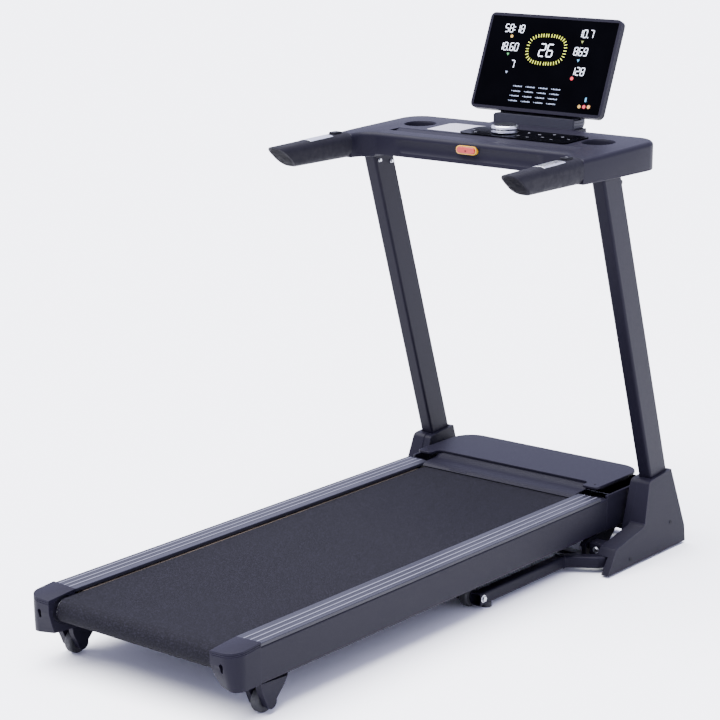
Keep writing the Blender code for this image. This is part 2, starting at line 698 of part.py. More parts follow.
def cross_tube_front():
    """Cross tube under the belt with the two cheeks that take the gas strut's upper eye."""
    half = BEAM_INNER - GAP
    qy, qz = STRUT_HIGH
    tube = make("deck_cross_tube_front", block(-half, half, qy - 0.015, qy + 0.015, 0.0820, 0.1000, 0.003),
                painted_steel(), (0.0, FOLD_Y, FOLD_Z))
    cheek = [(qy - 0.013, 0.086), (qy - 0.017, qz)] + arc(qy, qz, 0.017, 180, 360, 10) + [(qy + 0.013, 0.086)]
    join(tube, prism(cheek, -0.0155, -0.0115, "X"))
    return join(tube, prism(cheek, 0.0115, 0.0155, "X"))


def motor_pan():
    """Floor of the motor bay, slotted for the shaft's lever."""
    wide, narrow = 0.2960, 0.2515
    front, step, rear = 0.778, 0.768, 0.592
    outline = [(-narrow, rear), (narrow, rear), (narrow, step), (wide, step), (wide, front),
               (-wide, front), (-wide, step), (-narrow, step)]
    pan = make("motor_pan", prism(outline, 0.0775, 0.0800, "Z"), painted_steel(), (0.0, FOLD_Y, FOLD_Z))
    return cut(pan, block(-0.0195, 0.0195, 0.580, 0.767, 0.06, 0.10))


def drive_motor():
    """Motor can with end bells on a foot that stands on the pan."""
    profile = [(-0.195, 0.0075), (-0.195, 0.027), (-0.190, 0.030), (-0.180, 0.030), (-0.180, MOTOR_R),
               (-0.055, MOTOR_R), (-0.055, 0.030), (-0.040, 0.030), (-0.035, 0.026), (-0.035, 0.0075)]
    can = turned(profile, MOTOR_Y, MOTOR_Z, closed=True)
    motor = make("drive_motor", can, finish("motor_black", (0.02, 0.02, 0.022), 0.35, 0.5),
                 (0.0, FOLD_Y, FOLD_Z), smooth=True)
    return join(motor, block(-0.165, -0.070, 0.722, 0.762, 0.0803, 0.102))


def motor_pulley():
    """Motor shaft with its flywheel and small ribbed pulley."""
    profile = [(-0.040, 0.0), (-0.040, 0.007), (-0.212, 0.007), (-0.212, 0.034), (-0.230, 0.034),
               (-0.230, 0.008), (PULLEY_X + 0.010, 0.008), (PULLEY_X + 0.010, MOTOR_PULLEY_R),
               (PULLEY_X - 0.010, MOTOR_PULLEY_R), (PULLEY_X - 0.010, 0.0)]
    return make("motor_pulley", turned(profile, MOTOR_Y, MOTOR_Z), bare_steel(),
                (PULLEY_X, MOTOR_Y, MOTOR_Z), smooth=True)


def drive_belt():
    ring = loop_band(FRONT_ROLLER_Y, ROLLER_Z, ROLLER_PULLEY_R + GAP, MOTOR_Y, MOTOR_Z,
                     MOTOR_PULLEY_R + GAP, 0.0022, PULLEY_X - 0.008, PULLEY_X + 0.008, 12)
    return make("drive_belt", ring, rubber(), (0.0, FOLD_Y, FOLD_Z), smooth=True)


def control_board():
    """Motor controller: a tray with a finned heat sink on top."""
    board = make("motor_controller", block(0.040, 0.220, 0.604, 0.668, 0.0803, 0.098, 0.001),
                 finish("controller_metal", (0.35, 0.36, 0.38), 0.45, 0.9), (0.0, FOLD_Y, FOLD_Z))
    for i in range(5):
        y = 0.608 + i * 0.0135
        join(board, block(0.060, 0.160, y, y + 0.003, 0.097, 0.120))
    return board


def hood_plan(inset):
    """Outline of the hood from above, drawn in by an inset; its front corners are rounded."""
    half, rear, front, corner = 0.280 - inset, 0.561 + inset, DECK_FRONT - inset, 0.060 - inset
    plan = [(half - 0.004, rear), (half, rear + 0.004)]
    plan += arc(half - corner, front - corner, corner, 0, 90, 6)
    return plan + [(-x, y) for x, y in reversed(plan)]


def motor_hood():
    """Hood over the motor bay: an overhanging lid, an inset skirt and a lip over the belt."""
    lid = prism(hood_plan(0.0), 0.1805, HOOD_TOP, "Z")
    hood = make("motor_hood", lid, dark_plastic(), (0.0, FOLD_Y, FOLD_Z))
    join(hood, prism(hood_plan(0.014), 0.1690, 0.1830, "Z"))
    cut(hood, prism(hood_plan(0.017), 0.1500, 0.1828, "Z"))
    lip = [(0.5645, HOOD_TOP - 0.002), (0.5645, 0.1812), (0.548, 0.172), (0.526, 0.1600), (0.522, 0.1625),
           (0.540, 0.176), (0.556, 0.1850)]
    return join(hood, prism(lip, -RAIL_INNER + GAP, RAIL_INNER - GAP, "X"))


# ---------------------------------------------------------------- console
def console_plan():
    """Outline of the console seen from above, without the grips."""
    right = [(0.0, FACE_Y), (0.225, FACE_Y)]
    right += arc(0.270, FACE_Y - 0.047, 0.047, 85, 25, 4)
    right += [(0.3165, GRIP_SEAM + 0.012), (0.3165, GRIP_SEAM), (0.3695, GRIP_SEAM), (0.374, 0.400),
              (0.376, 0.540)]
    right += arc(0.376 - 0.062, SHELL_FAR - 0.062, 0.062, 0, 90, 6)
    right += [(0.135, SHELL_FAR), (0.129, 0.704), (0.0, 0.706)]
    left = [(-x, y) for x, y in reversed(right[1:-1])]
    return right + left


def console_lower_shell():
    """Underside tray of the console: a floor with a rim, open at the top."""
    tray = prism(console_plan(), SHELL_LOW, SHELL_SPLIT - GAP, "Z")
    top = max(tray.faces, key=lambda face: face.calc_center_median().z)
    bmesh.ops.inset_region(tray, faces=[top], thickness=0.004)
    grown = bmesh.ops.extrude_discrete_faces(tray, faces=[top])
    floor = grown["faces"][0]
    bmesh.ops.translate(tray, verts=floor.verts[:], vec=(0.0, 0.0, SHELL_LOW + 0.004 - SHELL_SPLIT))
    return make("console_lower_shell", tray, dark_plastic())


def console_upper_shell():
    """Top moulding of the console: an open-bottomed shell with two cup wells in it."""
    shell = prism(console_plan(), SHELL_SPLIT, SHELL_TOP, "Z")
    under = min(shell.faces, key=lambda face: face.calc_center_median().z)
    bmesh.ops.inset_region(shell, faces=[under], thickness=0.004)
    grown = bmesh.ops.extrude_discrete_faces(shell, faces=[under])
    roof = grown["faces"][0]
    bmesh.ops.translate(shell, verts=roof.verts[:], vec=(0.0, 0.0, SHELL_TOP - 0.004 - SHELL_SPLIT))
    lean_to_top(shell, SHELL_SPLIT + 0.01)
    upper = make("console_upper_shell", shell, dark_plastic())
    for _, side in SIDES:
        join(upper, post(CUP_R + 0.003, side * CUP_X, CUP_Y, CUP_FLOOR - 0.003, 1.0510))
        cut(upper, post(CUP_R, side * CUP_X, CUP_Y, CUP_FLOOR, 1.10))
    return upper


def grip(word, side):
    """Sleeve of a handlebar grip: rounded section with a slanted end."""
    near, tip_top, tip_low, droop = GRIP_SEAM - GAP, 0.060, 0.126, 0.009
    low, high = 0.9865, 1.0495
    section = rounded_ring(0.056, high - low, 0.022, 5)
    bm = bmesh.new()
    middle = (low + high) / 2
    rows = []
    for end in (0, 1):
        row = []
        for u, v in section:
            rise = (v + middle - low) / (high - low)
            slant = tip_low + (tip_top - tip_low) * rise
            if end:
                row.append(bm.verts.new((side * UPRIGHT_X + u, slant, middle + v - droop * rise)))
            else:
                row.append(bm.verts.new((side * UPRIGHT_X + u, near, middle + v)))
        rows.append(row)
    bm.faces.new(rows[0])
    bm.faces.new(rows[1])
    count = len(section)
    for k in range(count):
        nxt = (k + 1) % count
        bm.faces.new((rows[0][k], rows[0][nxt], rows[1][nxt], rows[1][k]))
    sleeve = make("grip_" + word, bm, rubber(), smooth=True)
    return cut(sleeve, block(side * UPRIGHT_X - 0.0105, side * UPRIGHT_X + 0.0105, 0.2835, 0.3125,
                             1.0405, 1.06))


def thumb_key(word, side):
    x = side * UPRIGHT_X
    key = block(x - 0.0100, x + 0.0100, 0.2840, 0.3120, 1.0435, 1.0535, 0.0025, 2)
    return make("thumb_key_" + word, key, black_plastic(), (x, 0.298, 1.0535))


def control_panel():
    """Keypad and speaker panel that lies on the console's top."""
    plan = [(-0.221, 0.476), (0.221, 0.476), (0.221, 0.592), (-0.221, 0.592)]
    low = SHELL_TOP + GAP
    panel = prism(plan, low, low + PANEL_THICK, "Z")
    for vert in panel.verts:
        vert.co.z += SHELL_RISE * (vert.co.y - GRIP_SEAM)
    return make("control_panel", panel, finish("panel_black", (0.01, 0.01, 0.012), 0.12))


def control_knob():
    """Turning knob: a wide ring with a stepped crown."""
    low = console_top(KNOB_Y + KNOB_R) + PANEL_THICK + 3 * GAP
    profile = [(0.0, 0.0), (KNOB_R - 0.001, 0.0), (KNOB_R, 0.001), (KNOB_R, 0.013),
               (KNOB_R - 0.002, 0.015), (KNOB_R - 0.004, 0.019), (KNOB_R - 0.006, 0.020), (0.0, 0.020)]
    bm = bmesh.new()
    points = [bm.verts.new((radius, 0.0, height)) for radius, height in profile]
    edges = [bm.edges.new(pair) for pair in zip(points, points[1:])]
    bmesh.ops.spin(bm, geom=points + edges, cent=(0, 0, 0), axis=(0, 0, 1), angle=2 * math.pi,
                   steps=40, use_merge=True)
    bmesh.ops.remove_doubles(bm, verts=bm.verts[:], dist=1e-6)
    bmesh.ops.translate(bm, verts=bm.verts[:], vec=(KNOB_X, KNOB_Y, low))
    return make("control_knob", bm, finish("knob_metal", (0.70, 0.71, 0.74), 0.25, 1.0),
                (KNOB_X, KNOB_Y, low), smooth=True)


def screen_stand():
    """Foot of the screen, with a hinge pin stub at each end."""
    y0, y1 = 0.6645, 0.7050
    hy, hz = HINGE
    outline = [(y0, console_top(y0) + 2 * GAP), (y1, console_top(y1) + 2 * GAP), (y1 + 0.007, 1.070),
               (y1 + 0.007, hz + 0.004), (y1 + 0.002, hz + 0.009), (0.698, hz + 0.005), (0.695, 1.079),
               (y0, 1.079)]
    stand = make("screen_stand", prism(outline, -0.1225, 0.1225, "X"), dark_plastic())
    return join(stand, rod(0.004, -0.136, 0.136, hy, hz, 20))


def screen_matrix():
    """Screen space: X across, Y away from the runner, Z up the face, from the lower front edge."""
    y, z = SCREEN_LOW
    return Matrix.Translation((0.0, y, z)) @ Matrix.Rotation(-SCREEN_LEAN, 4, "X")


def screen_shell():
    """Case of the screen with a front recess for the glass and two hinge ears behind."""
    case = block(-SCREEN_W / 2, SCREEN_W / 2, 0.0, SCREEN_THICK, 0.0, SCREEN_H)
    upright_edges = [e for e in case.edges if abs(e.verts[0].co.y - e.verts[1].co.y) > 0.01]
    round_edges(case, upright_edges, 0.014, 4)
    back = [e for e in case.edges if all(v.co.y > SCREEN_THICK - 0.001 for v in e.verts)]
    round_edges(case, back, 0.005, 1)
    bmesh.ops.transform(case, matrix=screen_matrix(), verts=case.verts[:])
    hy, hz = HINGE
    shell = make("screen_shell", case, dark_plastic(), (0.0, hy, hz))
    recess = block(-SCREEN_W / 2 + 0.008, SCREEN_W / 2 - 0.008, -0.01, 0.0036, 0.008, SCREEN_H - 0.008)
    bmesh.ops.transform(recess, matrix=screen_matrix(), verts=recess.verts[:])
    cut(shell, recess)
    ear = [(0.6895, 1.088), (0.6990, 1.126)] + arc(hy, hz, 0.0085, 60, -110, 8)
    for _, side in SIDES:
        join(shell, prism(ear, *span(side, 0.1240, 0.1340), "X"))
        cut(shell, rod(0.0044, *span(side, 0.110, 0.150), hy, hz, 20))
    return shell


def screen_glass():
    glass = block(-SCREEN_W / 2 + 0.0085, SCREEN_W / 2 - 0.0085, 0.0002, 0.0032, 0.0085, SCREEN_H - 0.0085)
    bmesh.ops.transform(glass, matrix=screen_matrix(), verts=glass.verts[:])
    hy, hz = HINGE
    return make("screen_glass", glass, finish("screen_black", (0.004, 0.004, 0.006), 0.08), (0.0, hy, hz))


def safety_key():
    """Magnetic safety key: an oval tab on the face of the console."""
    half, radius, z = 0.0195, 0.0075, 1.0285
    y0, y1 = FACE_Y - 0.0070, FACE_Y - 2 * GAP
    bm = bmesh.new()
    outline = arc(half, z, radius, -90, 90, 8) + arc(-half, z, radius, 90, 270, 8)
    ring = [bm.verts.new((x, y1, zz)) for x, zz in outline]
    face = bm.faces.new(ring)
    grown = bmesh.ops.extrude_face_region(bm, geom=[face])
    near = [part for part in grown["geom"] if isinstance(part, bmesh.types.BMVert)]
    bmesh.ops.translate(bm, verts=near, vec=(0.0, y0 - y1, 0.0))
    return make("safety_key", bm, finish("key_red", (0.75, 0.05, 0.02), 0.35), (0.0, y1, z))


# ---------------------------------------------------------------- assembly
def build_base():
    base_rear_tube()
    base_front_tube()
    for word, side in SIDES:
        base_arm(word, side)
        transport_wheel(word, side)
        floor_pad(word, "rear", side * ARM_X, 0.113, 0.0125, TUBE_MID_Z - TUBE / 2 - GAP)
        floor_pad(word, "front", side * FOOT_X, 0.752, 0.0125, TUBE_MID_Z - TUBE / 2 - GAP)
        lift_lug(word, side)
        upright(word, side)
        foot_cover(word, side)


def build_lift():
    for word, side in SIDES:
        lift_arm(word, side)
    lift_crossbar()
    lift_motor()
    lift_screw()
    fold_shaft()
    strut_cylinder()
    strut_rod()


def build_deck():
    for word, side in SIDES:
        deck_beam(word, side)
        foot_rail(word, side)
        front_plate(word, side)
        rear_cap(word, side)
        wheel_fork(word, side)
        rear_wheel(word, side)
    deck_board()
    running_belt()
    roller("rear_roller", REAR_ROLLER_Y, False)
    roller("front_roller", FRONT_ROLLER_Y, True)
    cross_tube_rear()
    cross_tube_front()
    motor_pan()
    drive_motor()
    motor_pulley()
    drive_belt()
    control_board()
    motor_hood()


def build_console():
    console_lower_shell()
    console_upper_shell()
    for word, side in SIDES:
        grip(word, side)
        thumb_key(word, side)
    control_panel()
    control_knob()
    screen_stand()
    screen_shell()
    screen_glass()
    safety_key()


def main():
    for obj in list(bpy.data.objects):
        bpy.data.objects.remove(obj)
    build_base()
    build_lift()
    build_deck()
    build_console()


main()
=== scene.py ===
"""Looks of the folding treadmill: materials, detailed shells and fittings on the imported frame."""

import json
import math

import bmesh
import bpy
from mathutils import Matrix, Vector


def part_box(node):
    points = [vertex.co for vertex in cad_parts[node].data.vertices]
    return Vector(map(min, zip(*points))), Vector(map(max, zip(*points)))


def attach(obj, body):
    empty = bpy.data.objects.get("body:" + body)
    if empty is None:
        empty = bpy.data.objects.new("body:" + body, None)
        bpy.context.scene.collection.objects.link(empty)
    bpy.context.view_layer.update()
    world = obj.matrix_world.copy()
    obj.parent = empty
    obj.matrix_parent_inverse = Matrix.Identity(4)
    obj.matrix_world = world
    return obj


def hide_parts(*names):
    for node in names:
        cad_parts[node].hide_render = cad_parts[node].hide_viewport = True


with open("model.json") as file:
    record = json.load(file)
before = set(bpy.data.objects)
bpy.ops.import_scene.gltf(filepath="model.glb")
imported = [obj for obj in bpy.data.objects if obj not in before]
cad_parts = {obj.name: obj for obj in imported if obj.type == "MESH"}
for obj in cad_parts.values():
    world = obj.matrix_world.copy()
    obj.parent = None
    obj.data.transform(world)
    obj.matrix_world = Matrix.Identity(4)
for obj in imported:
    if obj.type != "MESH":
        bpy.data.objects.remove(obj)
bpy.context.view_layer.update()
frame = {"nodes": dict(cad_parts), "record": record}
NODES = frame["nodes"]
SIDES = (("right", 1.0), ("left", -1.0))


# ---------------------------------------------------------------- materials
MIX_FIRST, MIX_SECOND, MIX_RESULT = 6, 7, 2     # colour sockets of a Mix node


class Finish:
    """A Principled material built up from a base colour with grain, mottling, and worn edges that carry a
    painted highlight.
    """

    def __init__(self, name, colour, roughness, metallic=0.0):
        self.material = bpy.data.materials.new(name)
        self.material.use_nodes = True
        self.nodes = self.material.node_tree.nodes
        self.links = self.material.node_tree.links
        self.shader = self.nodes["Principled BSDF"]
        self.shader.inputs["Base Color"].default_value = (*colour, 1.0)
        self.shader.inputs["Roughness"].default_value = roughness
        self.shader.inputs["Metallic"].default_value = metallic
        self.colour = None
        self.base = (*colour, 1.0)
        self.height = None
        self.place = self.node("ShaderNodeTexCoord").outputs["Object"]

    def node(self, kind, **values):
        made = self.nodes.new(kind)
        for key, value in values.items():
            socket = made.inputs[key.replace("_", " ")]
            if isinstance(value, bpy.types.NodeSocket):
                self.links.new(value, socket)
            else:
                socket.default_value = value
        return made

    def stretched(self, scale):
        """Object coordinates stretched along an axis, for brushed or ribbed patterns."""
        return self.node("ShaderNodeMapping", Vector=self.place, Scale=scale).outputs["Vector"]

    def noise(self, scale, detail=3.0, vector=None):
        made = self.node("ShaderNodeTexNoise", Vector=vector or self.place, Scale=scale, Detail=detail)
        return made.outputs["Fac"]

    def cells(self, scale, vector=None):
        made = self.node("ShaderNodeTexVoronoi", Vector=vector or self.place, Scale=scale)
        return made.outputs["Distance"]

    def remap(self, value, low, high, to_low=0.0, to_high=1.0):
        made = self.node("ShaderNodeMapRange", Value=value)
        for key, number in (("From Min", low), ("From Max", high), ("To Min", to_low), ("To Max", to_high)):
            made.inputs[key].default_value = number
        return made.outputs["Result"]

    def tint(self, amount, colour):
        """Mix another colour in where the amount is high."""
        mix = self.nodes.new("ShaderNodeMix")
        mix.data_type = "RGBA"
        self.links.new(amount, mix.inputs["Factor"])
        if self.colour is None:
            mix.inputs[MIX_FIRST].default_value = self.base
        else:
            self.links.new(self.colour, mix.inputs[MIX_FIRST])
        mix.inputs[MIX_SECOND].default_value = (*colour, 1.0)
        self.colour = mix.outputs[MIX_RESULT]
        self.links.new(self.colour, self.shader.inputs["Base Color"])
        return self

    def rough(self, value, low, high, source_low=0.3, source_high=0.7):
        self.links.new(self.remap(value, source_low, source_high, low, high),
                       self.shader.inputs["Roughness"])
        return self

    def gloss(self, level):
        """Set how strongly the surface mirrors; 0.5 is ordinary plastic."""
        self.shader.inputs["Specular IOR Level"].default_value = level
        return self

    def bump(self, value, depth, strength=1.0):
        """Raise the surface by a height pattern, in metres, on top of any earlier one."""
        made = self.node("ShaderNodeBump", Height=value, Distance=depth, Strength=strength)
        if self.height is not None:
            self.links.new(self.height, made.inputs["Normal"])
        self.height = made.outputs["Normal"]
        self.links.new(self.height, self.shader.inputs["Normal"])
        return self

    def worn_and_highlit_edges(self, radius, colour, strength=0.5):
        """Lighten convex and concave edges a little: partly wear from handling, partly a painted highlight
        along the edges.
        """
        soft = self.node("ShaderNodeBevel", Radius=radius).outputs["Normal"]
        sharp = self.node("ShaderNodeNewGeometry").outputs["Normal"]
        dot = self.nodes.new("ShaderNodeVectorMath")
        dot.operation = "DOT_PRODUCT"
        self.links.new(soft, dot.inputs[0])
        self.links.new(sharp, dot.inputs[1])
        return self.tint(self.remap(dot.outputs["Value"], 1.0, 0.80, 0.0, strength), colour)


CHARCOAL = (0.0056, 0.0050, 0.0096)
SATIN = 0.07            # gloss of the charcoal plastic and paint
MOTTLE, EDGE_WEAR_AND_HIGHLIGHT = 1.15, 3.6        # how much lighter clouded patches are, and edges with wear and a painted highlight


def lighter(colour, times):
    return tuple(min(c * times, 1.0) for c in colour)


def moulded_plastic(name="moulded_plastic", colour=CHARCOAL, roughness=0.48):
    """Fine spark-eroded grain of a charcoal injection moulding."""
    f = Finish(name, colour, roughness)
    cloud = f.noise(7.0, 3.0)
    f.tint(f.remap(cloud, 0.35, 0.75, 0.0, 0.2), lighter(colour, MOTTLE))
    # worn edges with a painted highlight
    f.worn_and_highlit_edges(0.0020, lighter(colour, EDGE_WEAR_AND_HIGHLIGHT), 0.45)
    f.rough(f.noise(240.0, 3.0), roughness - 0.03, roughness + 0.04)
    f.bump(f.noise(1900.0, 2.0), 0.00010, 0.7)
    f.gloss(SATIN)
    return f.material


def powder_coat(name="powder_coat", colour=CHARCOAL, roughness=0.44):
    """Satin powder coat with a slight orange peel."""
    f = Finish(name, colour, roughness, 0.15)
    f.tint(f.remap(f.noise(5.0, 2.0), 0.35, 0.7, 0.0, 0.2), lighter(colour, MOTTLE))
    f.gloss(SATIN)
    # worn edges with a painted highlight
    f.worn_and_highlit_edges(0.0016, lighter(colour, EDGE_WEAR_AND_HIGHLIGHT), 0.45)
    f.rough(f.noise(220.0, 3.0), roughness - 0.03, roughness + 0.04)
    f.bump(f.noise(900.0, 2.0), 0.00018, 0.6)
    return f.material


def belt_weave():
    """Running belt: charcoal rubber with a fine pebbled texture and a faint worn track."""
    f = Finish("belt_weave", (0.0032, 0.0030, 0.0046), 0.82)
    f.gloss(0.06)
    speck = f.noise(300.0, 3.0)
    f.tint(f.remap(speck, 0.46, 0.66, 0.0, 0.8), (0.0115, 0.0108, 0.0160))
    f.tint(f.remap(f.noise(5.0, 3.0), 0.4, 0.75, 0.0, 0.2), (0.0070, 0.0066, 0.0095))
    f.rough(speck, 0.72, 0.90)
    f.bump(f.cells(520.0), 0.00050, 0.7)
    return f.bump(speck, 0.0004, 0.6).material


def soft_rubber():
    """Black rubber of the floor pads and wheel tyres, dusty in patches."""
    colour, roughness = (0.007, 0.007, 0.009), 0.70
    f = Finish("soft_rubber", colour, roughness)
    f.tint(f.remap(f.noise(18.0, 4.0), 0.45, 0.75, 0.0, 0.5), lighter(colour, 2.2))
    f.rough(f.noise(90.0, 3.0), roughness - 0.1, roughness + 0.12)
    f.bump(f.noise(1400.0, 2.0), 0.00022, 0.7)
    return f.material


def ribbed_tread():
    """Foot rail: dark extruded plastic with a painted highlight along its rib crests."""
    f = Finish("ribbed_tread", (0.0105, 0.0105, 0.0160), 0.42)
    f.gloss(0.16)
    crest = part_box("foot_rail_right")[1].z
    height = f.node("ShaderNodeSeparateXYZ", Vector=f.place).outputs["Z"]
    streaks = f.noise(30.0, 3.0, f.stretched((1.0, 0.05, 1.0)))
    f.tint(f.remap(streaks, 0.4, 0.7, 0.0, 0.4), (0.0150, 0.0150, 0.0220))
    # painted highlight: the rib crests are coloured pale by their height
    f.tint(f.remap(height, crest - 0.0005, crest - 0.0001, 0.0, 0.80), (0.13, 0.13, 0.165))
    f.rough(f.noise(140.0, 2.0, f.stretched((1.0, 0.04, 1.0))), 0.30, 0.48)
    return f.bump(f.noise(1500.0, 2.0), 0.00012, 0.6).material


def machined_steel(name="machined_steel", colour=(0.56, 0.57, 0.60), roughness=0.28):
    """Bare metal with fine tool lines."""
    f = Finish(name, colour, roughness, 1.0)
    lines = f.noise(900.0, 3.0, f.stretched((0.03, 1.0, 1.0)))
    f.tint(f.remap(f.noise(12.0, 3.0), 0.4, 0.8, 0.0, 0.4), lighter(colour, 0.6))
    f.rough(lines, roughness - 0.08, roughness + 0.14)
    return f.bump(lines, 0.00008, 0.6).material


def smoked_glass():
    """Smoked front glass of the display, with faint smears in its gloss."""
    f = Finish("smoked_glass", (0.0006, 0.0006, 0.0010), 0.16)
    smear = f.noise(14.0, 4.0)
    f.tint(f.remap(smear, 0.4, 0.8, 0.0, 0.4), (0.0012, 0.0012, 0.0020))
    f.rough(smear, 0.10, 0.24)
    f.gloss(0.004)
    return f.material


def waxed_board():
    """Laminated slider board with long brown grain."""
    f = Finish("waxed_board", (0.05, 0.04, 0.032), 0.5)
    rings = f.noise(26.0, 5.0, f.stretched((1.0, 0.08, 3.0)))
    f.tint(f.remap(rings, 0.4, 0.65, 0.0, 0.7), (0.12, 0.09, 0.065))
    f.rough(rings, 0.42, 0.62)
    return f.bump(rings, 0.0002, 0.4).material


def safety_red():
    """Orange-red plastic of the safety key."""
    f = Finish("safety_red", (0.272, 0.004, 0.001), 0.42)
    f.tint(f.remap(f.noise(60.0, 3.0), 0.4, 0.8, 0.0, 0.5), (0.336, 0.009, 0.001))
    f.rough(f.noise(200.0, 2.0), 0.28, 0.42)
    return f.bump(f.noise(1800.0, 2.0), 0.00008, 0.5).material


def grip_foam():
    """Grained soft-touch skin of the grips."""
    f = Finish("grip_foam", (0.0052, 0.0048, 0.0078), 0.62)
    f.gloss(0.08)
    grain = f.cells(900.0)
    f.tint(f.remap(f.noise(700.0, 2.0), 0.45, 0.7, 0.0, 0.5), (0.0098, 0.0092, 0.0138))
    f.rough(f.noise(80.0, 3.0), 0.54, 0.72)
    return f.bump(grain, 0.00030, 0.7).material


def brushed_silver():
    """Silver lacquer with a fine metallic sparkle."""
    f = Finish("brushed_silver", (0.290, 0.285, 0.340), 0.40, 0.15)
    f.tint(f.remap(f.noise(1400.0, 2.0), 0.45, 0.7, 0.0, 0.6), (0.40, 0.39, 0.46))
    f.rough(f.noise(90.0, 3.0), 0.30, 0.44)
    return f.bump(f.noise(1800.0, 2.0), 0.00006, 0.5).material


def rim_yellow():
    """Amber plastic of the rim round the safety key."""
    f = Finish("rim_yellow", (0.42, 0.20, 0.004), 0.42)
    f.tint(f.remap(f.noise(80.0, 3.0), 0.4, 0.8, 0.0, 0.5), (0.48, 0.26, 0.008))
    f.rough(f.noise(200.0, 2.0), 0.30, 0.44)
    return f.bump(f.noise(1800.0, 2.0), 0.00006, 0.5).material


def painted_mark():
    """Pale printed symbols."""
    f = Finish("white_print", (0.16, 0.16, 0.18), 0.5)
    f.tint(f.remap(f.noise(900.0, 2.0), 0.4, 0.7, 0.0, 0.5), (0.11, 0.11, 0.13))
    return f.rough(f.noise(300.0, 2.0), 0.42, 0.58).bump(f.noise(1500.0), 0.00004, 0.4).material


def diamond_knurl(name="diamond_knurl"):
    """Fine crossed ridges on the foot of the screen."""
    f = Finish(name, (0.0070, 0.0070, 0.0105), 0.46)
    f.gloss(0.16)
    ridges = None
    slant = 0.62                # of each set of ridges, in radians
    for turn in (slant, -slant):
        spread = f.node("ShaderNodeMapping", Vector=f.place, Rotation=(0.0, turn, 0.0)).outputs["Vector"]
        wave = f.node("ShaderNodeTexWave", Vector=spread, Scale=72.0).outputs["Fac"]
        if ridges is None:
            ridges = wave
        else:
            both = f.nodes.new("ShaderNodeMath")
            both.operation = "MAXIMUM"
            f.links.new(ridges, both.inputs[0])
            f.links.new(wave, both.inputs[1])
            ridges = both.outputs[0]
    f.tint(f.remap(ridges, 0.55, 0.95, 0.0, 0.8), (0.034, 0.034, 0.047))
    f.rough(ridges, 0.36, 0.56)
    return f.bump(ridges, 0.0008, 0.9).material


def display_lights():
    """Lit colours of the display: red, green, blue and strength of the glow."""
    colours = {
        "white": (0.80, 0.84, 1.0, 3.6), "pale": (0.42, 0.50, 0.72, 1.2), "yellow": (0.80, 0.88, 0.10, 2.0),
        "amber": (0.70, 0.42, 0.08, 1.1), "green": (0.10, 0.46, 0.14, 0.9), "olive": (0.36, 0.42, 0.10, 0.9),
        "blue": (0.10, 0.42, 0.70, 1.3), "red": (0.80, 0.04, 0.06, 1.3), "orange": (0.90, 0.42, 0.12, 1.4),
    }
    lights = {}
    for name, (red, green, blue, strength) in colours.items():
        f = Finish("display_" + name, (red * 0.3, green * 0.3, blue * 0.3), 0.4)
        f.shader.inputs["Emission Color"].default_value = (red, green, blue, 1.0)
        f.shader.inputs["Emission Strength"].default_value = strength
        f.tint(f.remap(f.noise(500.0, 2.0), 0.4, 0.7, 0.0, 0.4), (red * 0.2, green * 0.2, blue * 0.2))
        lights[name] = f.rough(f.noise(300.0), 0.34, 0.46).material
    return lights


def dress_cad_nodes():
    """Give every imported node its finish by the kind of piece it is."""
    plastic, coat, rubber = moulded_plastic(), powder_coat(), soft_rubber()
    glass = smoked_glass()
    steel, dark = machined_steel(), moulded_plastic("black_moulding", (0.0045, 0.0045, 0.0062), 0.5)
    by_slot = {
        "painted_steel": coat, "dark_plastic": plastic, "black_plastic": dark, "black_rubber": rubber,
        "rail_plastic": ribbed_tread(), "belt_cloth": belt_weave(), "bare_steel": steel,
        "board_laminate": waxed_board(),
        "motor_black": powder_coat("motor_paint", (0.015, 0.015, 0.018), 0.35),
        "controller_metal": machined_steel("cast_aluminium", (0.42, 0.43, 0.45), 0.42),
        "panel_black": glass, "knob_metal": machined_steel("satin_chrome", (0.75, 0.76, 0.80), 0.2),
        "screen_black": glass, "key_red": safety_red(),
    }
    by_node = {"screen_stand": diamond_knurl()}
    for entry in frame["record"]["subparts"]:
        node = NODES[entry["node"]]
        node.data.materials.clear()
        node.data.materials.append(by_node.get(entry["node"], by_slot[entry["material_slot"]]))
    return by_slot


# ---------------------------------------------------------------- shaping helpers
def arc(cx, cy, radius, start, end, steps):
    """Points of an arc, angles in degrees from the first axis towards the second."""
    angles = [math.radians(start + (end - start) * i / steps) for i in range(steps + 1)]
    return [(cx + radius * math.cos(a), cy + radius * math.sin(a)) for a in angles]


def span(side, near, far):
    """Two distances from the middle, as a low and a high x on one side."""
    return tuple(sorted((side * near, side * far)))


def block(x0, x1, y0, y1, z0, z1):
    bm = bmesh.new()
    add_block(bm, x0, x1, y0, y1, z0, z1)
    return bm


def add_block(bm, x0, x1, y0, y1, z0, z1):
    """Add a box to a bmesh and return its corners."""
    made = bmesh.ops.create_cube(bm, size=1.0)["verts"]
    bmesh.ops.scale(bm, vec=(x1 - x0, y1 - y0, z1 - z0), verts=made)
    bmesh.ops.translate(bm, vec=((x0 + x1) / 2, (y0 + y1) / 2, (z0 + z1) / 2), verts=made)
    return made


def prism(outline, low, high, axis):
    """Extrude an outline along X, Y or Z.  Its points name the other two axes in order."""
    place = {"X": lambda a, b: (low, a, b), "Y": lambda a, b: (a, low, b),
             "Z": lambda a, b: (a, b, low)}[axis]
    step = {"X": (high - low, 0, 0), "Y": (0, high - low, 0), "Z": (0, 0, high - low)}[axis]
    bm = bmesh.new()
    face = bm.faces.new([bm.verts.new(place(a, b)) for a, b in outline])
    grown = bmesh.ops.extrude_face_region(bm, geom=[face])["geom"]
    bmesh.ops.translate(bm, vec=step, verts=[part for part in grown if isinstance(part, bmesh.types.BMVert)])
    bmesh.ops.recalc_face_normals(bm, faces=bm.faces[:])
    return bm


